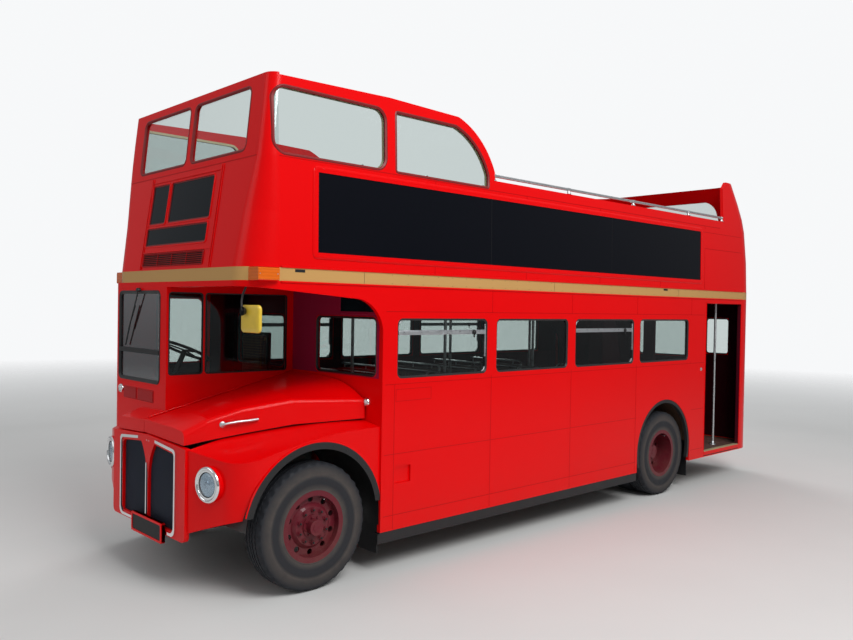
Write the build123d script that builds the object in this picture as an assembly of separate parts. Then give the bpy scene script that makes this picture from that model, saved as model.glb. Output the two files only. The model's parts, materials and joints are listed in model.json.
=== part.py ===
from build123d import *
import math
import os

# Open-top double-deck bus with a half cab, a front engine and an open rear platform.
# Millimetres. X is positive towards the nearside, Y towards the rear, Z up from the road.
# The origin lies on the road, midway along and across the bus, which faces -Y.

# Driving dimensions: overall
WHEELBASE = 5131
FRONT_AXLE_Y = -3319
REAR_AXLE_Y = FRONT_AXLE_Y + WHEELBASE
BODY_HALF = 1219
BODY_FRONT_Y = -3949
BODY_REAR_Y = 4190
NOSE_Y = -4150
WALL = 40
JOIN = 0.3

# Driving dimensions: levels
SKIRT_Z = 350
PLATFORM_Z = 413
PLATFORM_THICK = 58
FLOOR_Z = 640
FLOOR_THICK = 40
BAND_Z = 2404
BAND_HIGH = 100
DECK_THICK = 40
SIDE_TOP_Z = 3425
SCREEN_TOP_Z = 3962

# Wheels and tyres
TYRE_R = 502
TYRE_WIDE = 230
BEAD_R = 254
RIM_LIP_R = 288
RIM_LIP = 16
RIM_WELL = 14
TYRE_OUTER_X = 1176
TWIN_PITCH = 266
FRONT_HUB_R = 88
FRONT_SPINDLE_R = 35
REAR_HUB_R = 112
REAR_SPINDLE_R = 48
BORE_PLAY = 0.05
DISC_THICK = 14
HAND_HOLES = 10
HAND_HOLE_R = 24
HAND_HOLE_PCR = 208
KINGPIN_X = 930
KINGPIN_R = 20

# Wheel arches
ARCH_R = 600
ARCH_Z = 560
ARCH_Y = REAR_AXLE_Y - 22
WING_ARCH_R = 630
WING_ARCH_Z = 520

# Lower saloon
BULKHEAD_Y = -2690
DOORWAY_Y = 2767
DOORWAY_END_Y = 3731
DOORWAY_TOP_Z = 2341
WINDOW_Z = 1622
WINDOW_HIGH = 508
WINDOW_WIDE = 1115
WINDOW_PITCH = 1244
WINDOW_START_Y = -2530
WINDOW_COUNT = 4
WINDOW_R = 55
GLASS = 6
GLASS_INSET = 17

# Cab, on the offside of the engine
CAB_WALL_X = -100
CAB_FLOOR_Z = 1195
CAB_FLOOR_THICK = 30
CAB_DOOR_Y = -3560
CAB_DOOR_WIDE = 610
CAB_DOOR_Z = 1250
CAB_DOOR_TOP_Z = 2350
DOOR_THICK = 26
DOOR_GAP = 5

# Body sections from the deck band up, all round the plan:
# level, half width, front face, front corner radius, rear face, rear corner radius
UPPER_SECTIONS = [
    (2504, 1217.0, -3949, 260, 4190, 397),
    (2917, 1211.5, -3890, 210, 4170, 397),
    (3330, 1206.0, -3831, 120, 4095, 390),
    (3500, 1200.0, -3814, 105, 4030, 385),
    (3700, 1192.0, -3793, 95, 3905, 380),
    (3966, 1180.0, -3765, 90, 3710, 370),
]
BAND_CORNER_R = UPPER_SECTIONS[0][3]
REAR_CORNER_R = UPPER_SECTIONS[0][5]

parts = {}


def block(x0, x1, y0, y1, z0, z1):
    """A box between two corners."""
    centre = Pos((x0 + x1) / 2, (y0 + y1) / 2, (z0 + z1) / 2)
    return centre * Box(abs(x1 - x0), abs(y1 - y0), abs(z1 - z0))


def through_x(sketch, x0, x1):
    """A (y, z) sketch pushed through from x0 to x1."""
    return extrude(Plane.YZ.offset(x0) * sketch, x1 - x0)


def through_y(sketch, y0, y1):
    """An (x, z) sketch pushed through from y0 to y1."""
    return extrude(Plane.XZ.offset(-y1) * sketch, y1 - y0)


def through_z(sketch, z0, z1):
    """An (x, y) sketch pushed through from z0 to z1."""
    return extrude(Plane.XY.offset(z0) * sketch, z1 - z0)


def window(a0, a1, b0, b1, radius):
    """A rectangle with round corners, for openings and panes."""
    return Pos((a0 + a1) / 2, (b0 + b1) / 2) * RectangleRounded(a1 - a0, b1 - b0, radius)


def outline(points):
    """A face inside straight lines."""
    return make_face(Polyline(*points, close=True))


def rod(start, end, radius):
    """A round bar from one point to another."""
    start, end = Vector(*start), Vector(*end)
    along = end - start
    return Plane(start, z_dir=along) * Cylinder(
        radius, along.length, align=(Align.CENTER, Align.CENTER, Align.MIN)
    )


def other_side(shape):
    """The same piece on the other side of the bus."""
    return mirror(shape, about=Plane.YZ)


def one(shape):
    """The single solid inside a result."""
    found = shape.solids()
    assert len(found) == 1, f"{len(found)} solids where one was meant"
    return found[0]


def plan(half, front, front_r, rear, rear_r, inset=0):
    """The body seen from above, drawn in by an inset."""
    half, front, rear = half - inset, front + inset, rear - inset
    front_r, rear_r = front_r - inset, rear_r - inset
    turn = 1 - math.cos(math.pi / 4)
    near_front = ThreePointArc(
        (half - front_r, front),
        (half - front_r * turn, front + front_r * turn),
        (half, front + front_r),
    )
    near_rear = ThreePointArc(
        (half, rear - rear_r),
        (half - rear_r * turn, rear - rear_r * turn),
        (half - rear_r, rear),
    )
    off_rear = ThreePointArc(
        (rear_r - half, rear),
        (rear_r * turn - half, rear - rear_r * turn),
        (-half, rear - rear_r),
    )
    off_front = ThreePointArc(
        (-half, front + front_r),
        (front_r * turn - half, front + front_r * turn),
        (front_r - half, front),
    )
    lines = [
        near_front,
        Line(near_front @ 1, near_rear @ 0),
        near_rear,
        Line(near_rear @ 1, off_rear @ 0),
        off_rear,
        Line(off_rear @ 1, off_front @ 0),
        off_front,
        Line(off_front @ 1, near_front @ 0),
    ]
    return make_face(Curve() + lines)


def lower_plan(inset=0):
    """The lower body's plan, the same as the deck band's."""
    return plan(BODY_HALF, BODY_FRONT_Y, BAND_CORNER_R, BODY_REAR_Y, REAR_CORNER_R, inset)


def lower_ring(z0, z1):
    """The wall of the lower body, all round."""
    return through_z(lower_plan() - lower_plan(WALL), z0, z1)


def upper_core(inset):
    """The upper body as a solid, drawn in by an inset."""
    faces = []
    for level, half, front, front_r, rear, rear_r in UPPER_SECTIONS:
        face = plan(half, front, front_r, rear, rear_r, inset)
        faces.append(Pos(0, 0, level) * face)
    return loft(faces, ruled=True)


def upper_value(level, column):
    """A size of the upper body at a level, from the sections above and below it."""
    for low, high in zip(UPPER_SECTIONS, UPPER_SECTIONS[1:]):
        if low[0] <= level <= high[0]:
            share = (level - low[0]) / (high[0] - low[0])
            return low[column] + share * (high[column] - low[column])
    raise ValueError(level)


def side_slab(y0, y1, z0, z1, inner, outer):
    """A plate that lies on the upper side, from inner to outer of its face."""
    low, high = upper_value(z0, 1), upper_value(z1, 1)
    section = [(low + inner, z0), (low + outer, z0), (high + outer, z1), (high + inner, z1)]
    return through_y(outline(section), y0, y1)


def front_slab(x0, x1, z0, z1, inner, outer):
    """A plate that lies on the upper front, from inner to outer of its face."""
    low, high = upper_value(z0, 2), upper_value(z1, 2)
    section = [(low - inner, z0), (low - outer, z0), (high - outer, z1), (high - inner, z1)]
    return through_x(outline(section), x0, x1)


# Chassis: long rails, their cross members and the floor's bearers
RAIL_X = 400
RAIL_WIDE = 70
RAIL_Z = 430
RAIL_TOP = FLOOR_Z - FLOOR_THICK
RAIL_FRONT_Y = -4095
RAIL_DROP_Y = DOORWAY_Y - 80
RAIL_REAR_Y = 3700
LOW_RAIL_Z = 260
BEARER_Z = 530
BEARER_DEEP = 60
BEARERS_Y = [-2300, -1300, -300, 700]
CROSS_Y = [-4000, -3700, -2900, -2640, -900, 900, 2600]
REAR_NOTCH_TOP = 575
TOW_HOLE_R = 18
TOW_HOLE_Y = -4065
TOW_HOLE_Z = 456


def chassis_frame():
    """Two long rails with towing holes at the nose, their cross members and the bearers."""
    low = PLATFORM_Z - PLATFORM_THICK
    frame = None
    for x in (-RAIL_X - RAIL_WIDE, RAIL_X):
        side = outline([
            (RAIL_FRONT_Y, RAIL_Z), (FRONT_AXLE_Y - 90, RAIL_Z), (FRONT_AXLE_Y - 60, AXLE_BEAM_TOP),
            (FRONT_AXLE_Y + 60, AXLE_BEAM_TOP), (FRONT_AXLE_Y + 90, RAIL_Z),
            (REAR_AXLE_Y - 120, RAIL_Z), (REAR_AXLE_Y - 80, REAR_NOTCH_TOP),
            (REAR_AXLE_Y + 80, REAR_NOTCH_TOP), (REAR_AXLE_Y + 120, RAIL_Z),
            (RAIL_DROP_Y - 200, RAIL_Z), (RAIL_DROP_Y - 80, LOW_RAIL_Z), (RAIL_REAR_Y, LOW_RAIL_Z),
            (RAIL_REAR_Y, low), (RAIL_DROP_Y, low), (RAIL_DROP_Y, RAIL_TOP),
            (RAIL_FRONT_Y, RAIL_TOP),
        ])
        rail = through_x(side, x, x + RAIL_WIDE)
        frame = rail if frame is None else frame + rail
    for y in CROSS_Y:
        frame += block(-RAIL_X, RAIL_X, y, y + BEARER_DEEP, RAIL_Z + 40, RAIL_TOP - 40)
    for y in BEARERS_Y:
        frame += block(WALL - BODY_HALF, BODY_HALF - WALL, y, y + BEARER_DEEP, BEARER_Z, RAIL_TOP)
    frame -= rod((-BODY_HALF, TOW_HOLE_Y, TOW_HOLE_Z), (BODY_HALF, TOW_HOLE_Y, TOW_HOLE_Z),
                 TOW_HOLE_R)
    return one(frame)


# Engine: one closed mass between the rails, with the radiator behind the grille
ENGINE = (-270, 330, -3880, -2760, RAIL_TOP - 40, 1110)
RADIATOR = (-400, 400, -4040, -3975, RAIL_TOP - 40, 1050)


def engine_block():
    """The engine as a plain mass, and the radiator."""
    return block(*ENGINE) + block(*RADIATOR) + block(-40, 40, -3975, -3880, 620, 760)


# Front axle: a beam with a kingpin at each end, and the knuckles on them
AXLE_BEAM_HALF = 45
AXLE_BEAM_TOP = TYRE_R + 40
KNUCKLE_LUG = 30
KNUCKLE_GAP = 1
KNUCKLE_LUG_R = 46
BOSS_HALF = 62
BOSS_R = 40
PLATE_X = 52
PLATE_THICK = 26
SPINDLE_END = 215


def front_axle():
    """The beam, its bosses and the two kingpins."""
    beam = block(-KINGPIN_X, KINGPIN_X, FRONT_AXLE_Y - AXLE_BEAM_HALF, FRONT_AXLE_Y + AXLE_BEAM_HALF,
                 TYRE_R - 50, AXLE_BEAM_TOP)
    beam -= block(KINGPIN_X - 10, KINGPIN_X + 10, -9999, 9999, 0, 2000)
    beam -= block(-KINGPIN_X - 10, -KINGPIN_X + 10, -9999, 9999, 0, 2000)
    for side in (-1, 1):
        x = side * KINGPIN_X
        beam += rod((x, FRONT_AXLE_Y, TYRE_R - BOSS_HALF), (x, FRONT_AXLE_Y, TYRE_R + BOSS_HALF),
                    BOSS_R)
        reach = BOSS_HALF + KNUCKLE_GAP + KNUCKLE_LUG
        beam += rod((x, FRONT_AXLE_Y, TYRE_R - reach), (x, FRONT_AXLE_Y, TYRE_R + reach), KINGPIN_R)
    return one(beam)


def knuckle_left():
    """Two lugs on the kingpin, an upright between them and the wheel's spindle."""
    knuckle = None
    for side in (-1, 1):
        near = TYRE_R + side * (BOSS_HALF + KNUCKLE_GAP)
        far = near + side * KNUCKLE_LUG
        low, high = min(near, far), max(near, far)
        lug = rod((KINGPIN_X, FRONT_AXLE_Y, low), (KINGPIN_X, FRONT_AXLE_Y, high), KNUCKLE_LUG_R)
        lug += block(KINGPIN_X, KINGPIN_X + PLATE_X + PLATE_THICK, FRONT_AXLE_Y - KNUCKLE_LUG_R + 4,
                     FRONT_AXLE_Y + KNUCKLE_LUG_R - 4, low, high)
        knuckle = lug if knuckle is None else knuckle + lug
    reach = BOSS_HALF + KNUCKLE_GAP + KNUCKLE_LUG
    x = KINGPIN_X + PLATE_X
    knuckle += block(x, x + PLATE_THICK, FRONT_AXLE_Y - 42, FRONT_AXLE_Y + 42, TYRE_R - reach,
                     TYRE_R + reach)
    knuckle += rod((x, FRONT_AXLE_Y, TYRE_R), (KINGPIN_X + SPINDLE_END, FRONT_AXLE_Y, TYRE_R),
                   FRONT_SPINDLE_R)
    knuckle -= rod((KINGPIN_X, FRONT_AXLE_Y, 0), (KINGPIN_X, FRONT_AXLE_Y, 2 * TYRE_R),
                   KINGPIN_R + BORE_PLAY)
    return one(knuckle)


# Rear axle: a tube with the drive casing in the middle
REAR_TUBE_R = 55
REAR_TUBE_HALF = 660
DRIVE_R = 92
DRIVE_HALF = 150
REAR_SPINDLE_END = 990
AXLE_PAD_HALF = 50


def rear_axle():
    """The axle casing, its drive housing, the spindles and the pads below the rails."""
    axle = rod((-REAR_TUBE_HALF, REAR_AXLE_Y, TYRE_R), (REAR_TUBE_HALF, REAR_AXLE_Y, TYRE_R),
               REAR_TUBE_R)
    axle += rod((-REAR_SPINDLE_END, REAR_AXLE_Y, TYRE_R), (REAR_SPINDLE_END, REAR_AXLE_Y, TYRE_R),
                REAR_SPINDLE_R)
    casing = rod((-DRIVE_HALF, REAR_AXLE_Y, TYRE_R), (DRIVE_HALF, REAR_AXLE_Y, TYRE_R), DRIVE_R)
    axle += chamfer(casing.edges().filter_by(GeomType.CIRCLE), 30)
    for x in (-RAIL_X - RAIL_WIDE, RAIL_X):
        axle += block(x, x + RAIL_WIDE, REAR_AXLE_Y - AXLE_PAD_HALF, REAR_AXLE_Y + AXLE_PAD_HALF,
                      TYRE_R, REAR_NOTCH_TOP)
    return one(axle)


# Wheels: outlines are (x from the tyre's middle, radius), turned about the axle
RIM_HALF = 105


def spin(points, middle, y):
    """An (x, radius) outline turned about an axle line."""
    shape = outline([(middle + x, r) for x, r in points])
    ring = revolve(Plane.XY * shape, Axis.X, 360)
    return Pos(0, y, TYRE_R) * ring


def rim_outline():
    """The channel that the tyre's beads sit in."""
    inner = RIM_HALF - RIM_LIP
    return [(-RIM_HALF, RIM_LIP_R), (-RIM_HALF, BEAD_R - RIM_WELL), (RIM_HALF, BEAD_R - RIM_WELL),
            (RIM_HALF, RIM_LIP_R), (inner, RIM_LIP_R), (inner, BEAD_R), (-inner, BEAD_R),
            (-inner, RIM_LIP_R)]


def tyre(middle, y):
    """A tyre on its beads, with a flat tread and full sides."""
    half = TYRE_WIDE / 2
    bead = RIM_HALF - RIM_LIP - 1
    points = [(-bead, BEAD_R), (bead, BEAD_R), (bead, RIM_LIP_R + 2), (half, 372),
              (half - 14, 462), (half - 30, TYRE_R), (30 - half, TYRE_R), (14 - half, 462),
              (-half, 372), (-bead, RIM_LIP_R + 2)]
    return spin(points, middle, y)


def disc(middle, y, face, hub_r, dish):
    """The wheel's centre: a dished disc with hand holes, from the hub to the rim."""
    edge = BEAD_R - RIM_WELL + 2
    inner = HAND_HOLE_PCR - HAND_HOLE_R - 4
    slope = abs(dish)
    back = face - DISC_THICK
    points = [(face, edge), (face, inner), (face + dish, inner - slope), (face + dish, hub_r - 4),
              (back + dish, hub_r - 4), (back + dish, inner - slope), (back, inner), (back, edge)]
    wheel = spin(points, middle, y)
    for step in range(HAND_HOLES):
        angle = math.radians(360 * (step + 0.5) / HAND_HOLES)
        hole_y = y + HAND_HOLE_PCR * math.cos(angle)
        hole_z = TYRE_R + HAND_HOLE_PCR * math.sin(angle)
        wheel -= rod((middle + face - 90, hole_y, hole_z), (middle + face + 90, hole_y, hole_z),
                     HAND_HOLE_R)
    return wheel


OUTER_MIDDLE = TYRE_OUTER_X - TYRE_WIDE / 2
INNER_MIDDLE = OUTER_MIDDLE - TWIN_PITCH
FRONT_HUB_IN = 1016
FRONT_HUB_OUT = 1150
FRONT_CAP_R = 62
FRONT_CAP_OUT = 1206
REAR_HUB_IN = 690
REAR_HUB_OUT = 1010
REAR_CAP_R = 78
REAR_CAP_OUT = 1060


def front_wheel_left():
    """Rim, disc, hub and cap, bored for the spindle."""
    wheel = spin(rim_outline(), OUTER_MIDDLE, FRONT_AXLE_Y)
    wheel += disc(OUTER_MIDDLE, FRONT_AXLE_Y, 50, FRONT_HUB_R, 28)
    wheel += rod((FRONT_HUB_IN, FRONT_AXLE_Y, TYRE_R), (FRONT_HUB_OUT, FRONT_AXLE_Y, TYRE_R),
                 FRONT_HUB_R)
    wheel += rod((FRONT_HUB_OUT, FRONT_AXLE_Y, TYRE_R), (FRONT_CAP_OUT, FRONT_AXLE_Y, TYRE_R),
                 FRONT_CAP_R)
    wheel -= rod((0, FRONT_AXLE_Y, TYRE_R), (KINGPIN_X + SPINDLE_END + 6, FRONT_AXLE_Y, TYRE_R),
                 FRONT_SPINDLE_R + BORE_PLAY)
    return one(wheel)


def rear_wheels_left():
    """Twin rims and discs on one long hub, bored for the axle's spindle."""
    wheel = spin(rim_outline(), OUTER_MIDDLE, REAR_AXLE_Y)
    wheel += spin(rim_outline(), INNER_MIDDLE, REAR_AXLE_Y)
    wheel += disc(OUTER_MIDDLE, REAR_AXLE_Y, -86, REAR_HUB_R, -32)
    wheel += disc(INNER_MIDDLE, REAR_AXLE_Y, 100, REAR_HUB_R, 32)
    wheel += rod((REAR_HUB_IN, REAR_AXLE_Y, TYRE_R), (REAR_HUB_OUT, REAR_AXLE_Y, TYRE_R),
                 REAR_HUB_R)
    wheel += rod((REAR_HUB_OUT, REAR_AXLE_Y, TYRE_R), (REAR_CAP_OUT, REAR_AXLE_Y, TYRE_R),
                 REAR_CAP_R)
    wheel -= rod((0, REAR_AXLE_Y, TYRE_R), (REAR_SPINDLE_END + 6, REAR_AXLE_Y, TYRE_R),
                 REAR_SPINDLE_R + BORE_PLAY)
    wheel -= rod((0, REAR_AXLE_Y, TYRE_R), (REAR_HUB_IN + 2, REAR_AXLE_Y, TYRE_R),
                 REAR_TUBE_R + 8)
    return one(wheel)


def rear_tyres_left():
    """The two tyres of the twin wheel."""
    return tyre(OUTER_MIDDLE, REAR_AXLE_Y) + tyre(INNER_MIDDLE, REAR_AXLE_Y)


# Lower body
WHEEL_BOX_X = 620
WHEEL_BOX_THICK = 14
PLATFORM_STEP_Y = 2720
STEP_RECESS = (-2540, -2360, 740, 880)
STEP_RECESS_DEEP = 20


def lower_windows():
    """The window openings along a side: start, end."""
    starts = [WINDOW_START_Y + WINDOW_PITCH * step for step in range(WINDOW_COUNT)]
    return [(start, start + WINDOW_WIDE) for start in starts]


def arch_cut(x0, x1, radius):
    """The space of a rear wheel arch, open below."""
    round_part = rod((x0, ARCH_Y, ARCH_Z), (x1, ARCH_Y, ARCH_Z), radius)
    return round_part + block(x0, x1, ARCH_Y - radius, ARCH_Y + radius, 0, ARCH_Z)


def lower_side(doorway):
    """A side wall from the bulkhead to the rear corner."""
    x0, x1 = BODY_HALF - WALL, BODY_HALF
    side = block(x0, x1, BULKHEAD_Y, DOORWAY_END_Y, SKIRT_Z, BAND_Z)
    for start, end in lower_windows():
        side -= through_x(window(start, end, WINDOW_Z, WINDOW_Z + WINDOW_HIGH, WINDOW_R), x0, x1)
    side -= arch_cut(x0, x1, ARCH_R)
    if doorway:
        side -= block(x0, x1, DOORWAY_Y, DOORWAY_END_Y, SKIRT_Z, DOORWAY_TOP_Z)
        side -= block(x1 - STEP_RECESS_DEEP, x1, *STEP_RECESS)
    return one(side)


REAR_WINDOW = (-640, 300, 1560, 2120)
REAR_CORNER_WINDOW = (480, 840, 1614, 2141)
REAR_PLATE = (-560, -180, 820, 940)


def lower_rear():
    """The rear wall and its corners, with two windows."""
    rear = lower_ring(SKIRT_Z, BAND_Z) & block(-2000, 2000, DOORWAY_END_Y, 5000, 0, 3000)
    for x0, x1, z0, z1 in (REAR_WINDOW, REAR_CORNER_WINDOW):
        rear -= through_y(window(x0, x1, z0, z1, WINDOW_R), REAR_CORNER_Y, BODY_REAR_Y + 10)
    return one(rear)


REAR_CORNER_Y = BODY_REAR_Y - 60
BULKHEAD_WINDOWS = [(283, 1130), (-1090, -250)]
BULKHEAD_WINDOW_Z = (1640, 2130)
SALOON_DOOR = (-330, 330)


def front_bulkhead():
    """The wall between the cab, the engine and the saloon."""
    half = BODY_HALF - WALL
    wall = block(-half, half, BULKHEAD_Y, BULKHEAD_Y + WALL, RAIL_TOP, BAND_Z)
    for x0, x1 in BULKHEAD_WINDOWS:
        wall -= through_y(window(x0, x1, *BULKHEAD_WINDOW_Z, WINDOW_R), BULKHEAD_Y,
                          BULKHEAD_Y + WALL)
    return one(wall)


def rear_bulkhead():
    """The wall between the saloon and the platform, with its open doorway."""
    half = BODY_HALF - WALL
    wall = block(STAIR_INNER_X, half, PLATFORM_STEP_Y, PLATFORM_STEP_Y + 30, PLATFORM_Z, BAND_Z)
    wall -= block(*SALOON_DOOR, PLATFORM_STEP_Y, PLATFORM_STEP_Y + 30, FLOOR_Z, BAND_Z - 120)
    wall -= through_y(window(500, half - 90, 1400, 2130, WINDOW_R), PLATFORM_STEP_Y,
                      PLATFORM_STEP_Y + 30)
    return one(wall)


def lower_floor():
    """The saloon floor with a box over each rear wheel and a riser to the platform."""
    half = BODY_HALF - WALL
    floor = block(-half, half, BULKHEAD_Y + WALL, PLATFORM_STEP_Y, FLOOR_Z - FLOOR_THICK, FLOOR_Z)
    for side in (-1, 1):
        inner, outer = side * WHEEL_BOX_X, side * half
        x0, x1 = min(inner, outer), max(inner, outer)
        box = arch_cut(x0, x1, ARCH_R + WHEEL_BOX_THICK)
        box -= block(x0, x1, -9999, 9999, -999, FLOOR_Z - FLOOR_THICK)
        well = arch_cut(x0 + (WHEEL_BOX_THICK if side > 0 else 0),
                        x1 - (WHEEL_BOX_THICK if side < 0 else 0), ARCH_R)
        floor += box
        floor -= well
    return one(floor)


def platform():
    """The open rear platform, out to the doorway's edge."""
    low = PLATFORM_Z - PLATFORM_THICK
    inside = through_z(lower_plan(WALL), low, PLATFORM_Z)
    inside &= block(-2000, 2000, PLATFORM_STEP_Y, 5000, 0, 1000)
    # It is cut back to stand inside the near wall ahead of the doorway and passes out through it.
    return one(inside + block(BODY_HALF - WALL - 10, BODY_HALF, DOORWAY_Y, DOORWAY_END_Y, low,
                              PLATFORM_Z))


# Stairs up the offside, from the platform to the deck
STAIR_STEPS = 9
STAIR_OUTER_X = WALL - BODY_HALF
STAIR_INNER_X = -560
STAIR_FOOT_Y = 4020
STAIR_GOING = 185
STAIR_BOARD = 26
STAIR_WALL = 18
STAIR_TOP_Z = BAND_Z + DECK_THICK
STAIR_HEAD_Y = STAIR_FOOT_Y - STAIR_GOING * (STAIR_STEPS - 1) - 60
STAIR_ENTRY_Y = STAIR_FOOT_Y - 460
STAIR_WELL_END_Y = 3800


def staircase():
    """Treads and risers in one folded flight, with the panel beside them."""
    rise = (STAIR_TOP_Z - PLATFORM_Z) / STAIR_STEPS
    top = []
    for step in range(STAIR_STEPS):
        y = STAIR_FOOT_Y - STAIR_GOING * step
        top.append((y, PLATFORM_Z + rise * step))
        top.append((y, PLATFORM_Z + rise * (step + 1)))
    under = [(STAIR_HEAD_Y, STAIR_TOP_Z), (STAIR_HEAD_Y, STAIR_TOP_Z - rise),
             (STAIR_FOOT_Y - 130, PLATFORM_Z)]
    flight = through_x(outline(top + under), STAIR_OUTER_X, STAIR_INNER_X - STAIR_WALL)
    flight &= through_z(lower_plan(WALL), PLATFORM_Z, STAIR_TOP_Z)
    bulkhead_face = PLATFORM_STEP_Y + 30
    side = outline([(STAIR_ENTRY_Y, PLATFORM_Z), (STAIR_ENTRY_Y, PLATFORM_Z + 1000),
                    (STAIR_ENTRY_Y - 260, BAND_Z), (bulkhead_face, BAND_Z),
                    (bulkhead_face, PLATFORM_Z)])
    panel = through_x(side, STAIR_INNER_X - STAIR_WALL, STAIR_INNER_X)
    return one(flight + panel)


# Deck and band
def band():
    """The raised band round the body at deck level."""
    return one(lower_ring(BAND_Z, BAND_Z + BAND_HIGH))


def upper_floor():
    """The deck over the saloon, the platform and the cab, with the stair's opening."""
    deck = through_z(lower_plan(WALL), BAND_Z, BAND_Z + DECK_THICK)
    deck -= block(-BODY_HALF, STAIR_INNER_X, STAIR_HEAD_Y, STAIR_WELL_END_Y, BAND_Z,
                  BAND_Z + DECK_THICK)
    return one(deck)


# Upper body
FRONT_SPLIT_Y = -3700
REAR_SPLIT_Y = 3116
REAR_RISE_Y = 3190
SCREEN_END_Y = -1330
FRONT_TOP_Z = 3950
REAR_TOP_Z = 3958
FRONT_PANE = (36, 925, 3385, 3880)
FRONT_PANE_R = 60
SIDE_SCREEN = (-3760, -2665, 3345, 3860)
SIDE_SCREEN_R = 110
LAST_SCREEN_START_Y = -2565
LAST_SCREEN_END_Y = -1412
REAR_SCREEN = (-740, 740, 2960, 3790)
REAR_SCREEN_R = 150
BLIND_RECESS = 14
# Blind boxes on the front: x from, x to, z from, z to
BLINDS = [(-580, -270, 2905, 3250), (-225, 505, 2905, 3250), (-590, 495, 2715, 2872)]
VENT = (-570, 490, 2545, 2640)
VENT_SLATS = 6
AD_PANEL = (-3360, 2580, 2632, 3248)
AD_FRAME = 36
AD_PROUD = 10


def last_screen_face():
    """The last side screen, with its swept top corner."""
    y0, y1 = LAST_SCREEN_START_Y, LAST_SCREEN_END_Y
    z0, z1 = SIDE_SCREEN[2], SIDE_SCREEN[3]
    shape = [
        Line((y0, z0), (y1, z0)),
        Line((y1, z0), (y1, z0 + 120)),
        ThreePointArc((y1, z0 + 120), (y1 - 155, z1 - 155), (y1 - 430, z1)),
        Line((y1 - 430, z1), (y0, z1)),
        Line((y0, z1), (y0, z0)),
    ]
    return make_face(Curve() + shape)


def screen_cuts():
    """The openings of the upper body, each as a tool that passes through its wall."""
    cuts = []
    x0, x1, z0, z1 = FRONT_PANE
    for a, b in ((x0, x1), (-x1, -x0)):
        cuts.append(through_y(window(a, b, z0, z1, FRONT_PANE_R), -3900, -3700))
    for inner, outer in ((1100, 1300), (-1300, -1100)):
        cuts.append(through_x(window(*SIDE_SCREEN, SIDE_SCREEN_R), inner, outer))
        cuts.append(through_x(last_screen_face(), inner, outer))
    cuts.append(through_y(window(*REAR_SCREEN, REAR_SCREEN_R), 3500, 4300))
    return cuts


def upper_wall():
    """The wall of the upper body all round, with its screens cut."""
    wall = upper_core(0) - upper_core(WALL)
    for cut in screen_cuts():
        wall -= cut
    return wall


def upper_side_near(wall):
    """A side of the upper deck, with raised screens ahead and the panel's frame on it."""
    top = [
        Line((FRONT_SPLIT_Y, 2400), (FRONT_SPLIT_Y, 3932)),
        Line((FRONT_SPLIT_Y, 3932), (-2628, SCREEN_TOP_Z)),
        Line((-2628, SCREEN_TOP_Z), (-1808, 3944)),
        ThreePointArc((-1808, 3944), (-1523, 3781), (SCREEN_END_Y, 3503)),
        Line((SCREEN_END_Y, 3503), (SCREEN_END_Y, SIDE_TOP_Z)),
        Line((SCREEN_END_Y, SIDE_TOP_Z), (REAR_SPLIT_Y, SIDE_TOP_Z)),
        Line((REAR_SPLIT_Y, SIDE_TOP_Z), (REAR_SPLIT_Y, 2400)),
        Line((REAR_SPLIT_Y, 2400), (FRONT_SPLIT_Y, 2400)),
    ]
    side = wall & through_x(make_face(Curve() + top), 1000, 1300)
    y0, y1, z0, z1 = AD_PANEL
    frame = side_slab(y0 - AD_FRAME, y1 + AD_FRAME, z0 - AD_FRAME, z1 + AD_FRAME, 0, AD_PROUD)
    frame -= side_slab(y0, y1, z0, z1, 0, AD_PROUD)
    return one(side + frame)


def ad_boards():
    """The plain boards inside the frames on both sides."""
    y0, y1, z0, z1 = AD_PANEL
    near = side_slab(y0, y1, z0, z1, 0, AD_PROUD - 5)
    return near + other_side(near)


def upper_front(wall):
    """The front of the upper deck, with the blinds' recesses and the slatted vent."""
    front = wall & block(-1300, 1300, -4000, FRONT_SPLIT_Y, 2400, FRONT_TOP_Z)
    for x0, x1, z0, z1 in BLINDS:
        front -= front_slab(x0, x1, z0, z1, -BLIND_RECESS, 40)
    x0, x1, z0, z1 = VENT
    pitch = (z1 - z0) / VENT_SLATS
    for slat in range(VENT_SLATS):
        low = z0 + pitch * slat
        front -= front_slab(x0, x1, low, low + pitch * 0.6, -BLIND_RECESS, 40)
    return one(front)


def blind_glass():
    """The dark glass of the blinds, just inside the front's face."""
    panes = [front_slab(x0, x1, z0, z1, -BLIND_RECESS, -4) for x0, x1, z0, z1 in BLINDS]
    return Compound(children=[pane.solid() for pane in panes])


def upper_rear(wall):
    """The rear end of the upper deck, swept forward at the top, with a window."""
    shape = outline([(REAR_SPLIT_Y, 2400), (REAR_SPLIT_Y, SIDE_TOP_Z), (REAR_RISE_Y, SIDE_TOP_Z),
                     (REAR_RISE_Y, 3862), (REAR_RISE_Y + 96, REAR_TOP_Z), (4400, REAR_TOP_Z),
                     (4400, 2400)])
    return one(wall & through_x(shape, -1300, 1300))


def upper_panes():
    """Panes for the upper screens, set inside the wall."""
    skin = upper_core(GLASS_INSET) - upper_core(GLASS_INSET + GLASS)
    panes = []
    for cut in screen_cuts():
        panes += (skin & cut).solids()
    return panes


# Canopy over the engine, on the nearside
def canopy_valance():
    """The panel below the band, from the cab round the front corner to the bulkhead."""
    strip = lower_ring(2000, BAND_Z) & block(CAB_WALL_X, 1300, -4100, BULKHEAD_Y, 2000, BAND_Z)
    edge = [
        Line((-4100, BAND_Z), (-4100, 2372)),
        Line((-4100, 2372), (-3000, 2288)),
        ThreePointArc((-3000, 2288), (-2775, 2200), (BULKHEAD_Y, 2030)),
        Line((BULKHEAD_Y, 2030), (BULKHEAD_Y, BAND_Z)),
        Line((BULKHEAD_Y, BAND_Z), (-4100, BAND_Z)),
    ]
    return one(strip & through_x(make_face(Curve() + edge), -1300, 1300))


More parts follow.
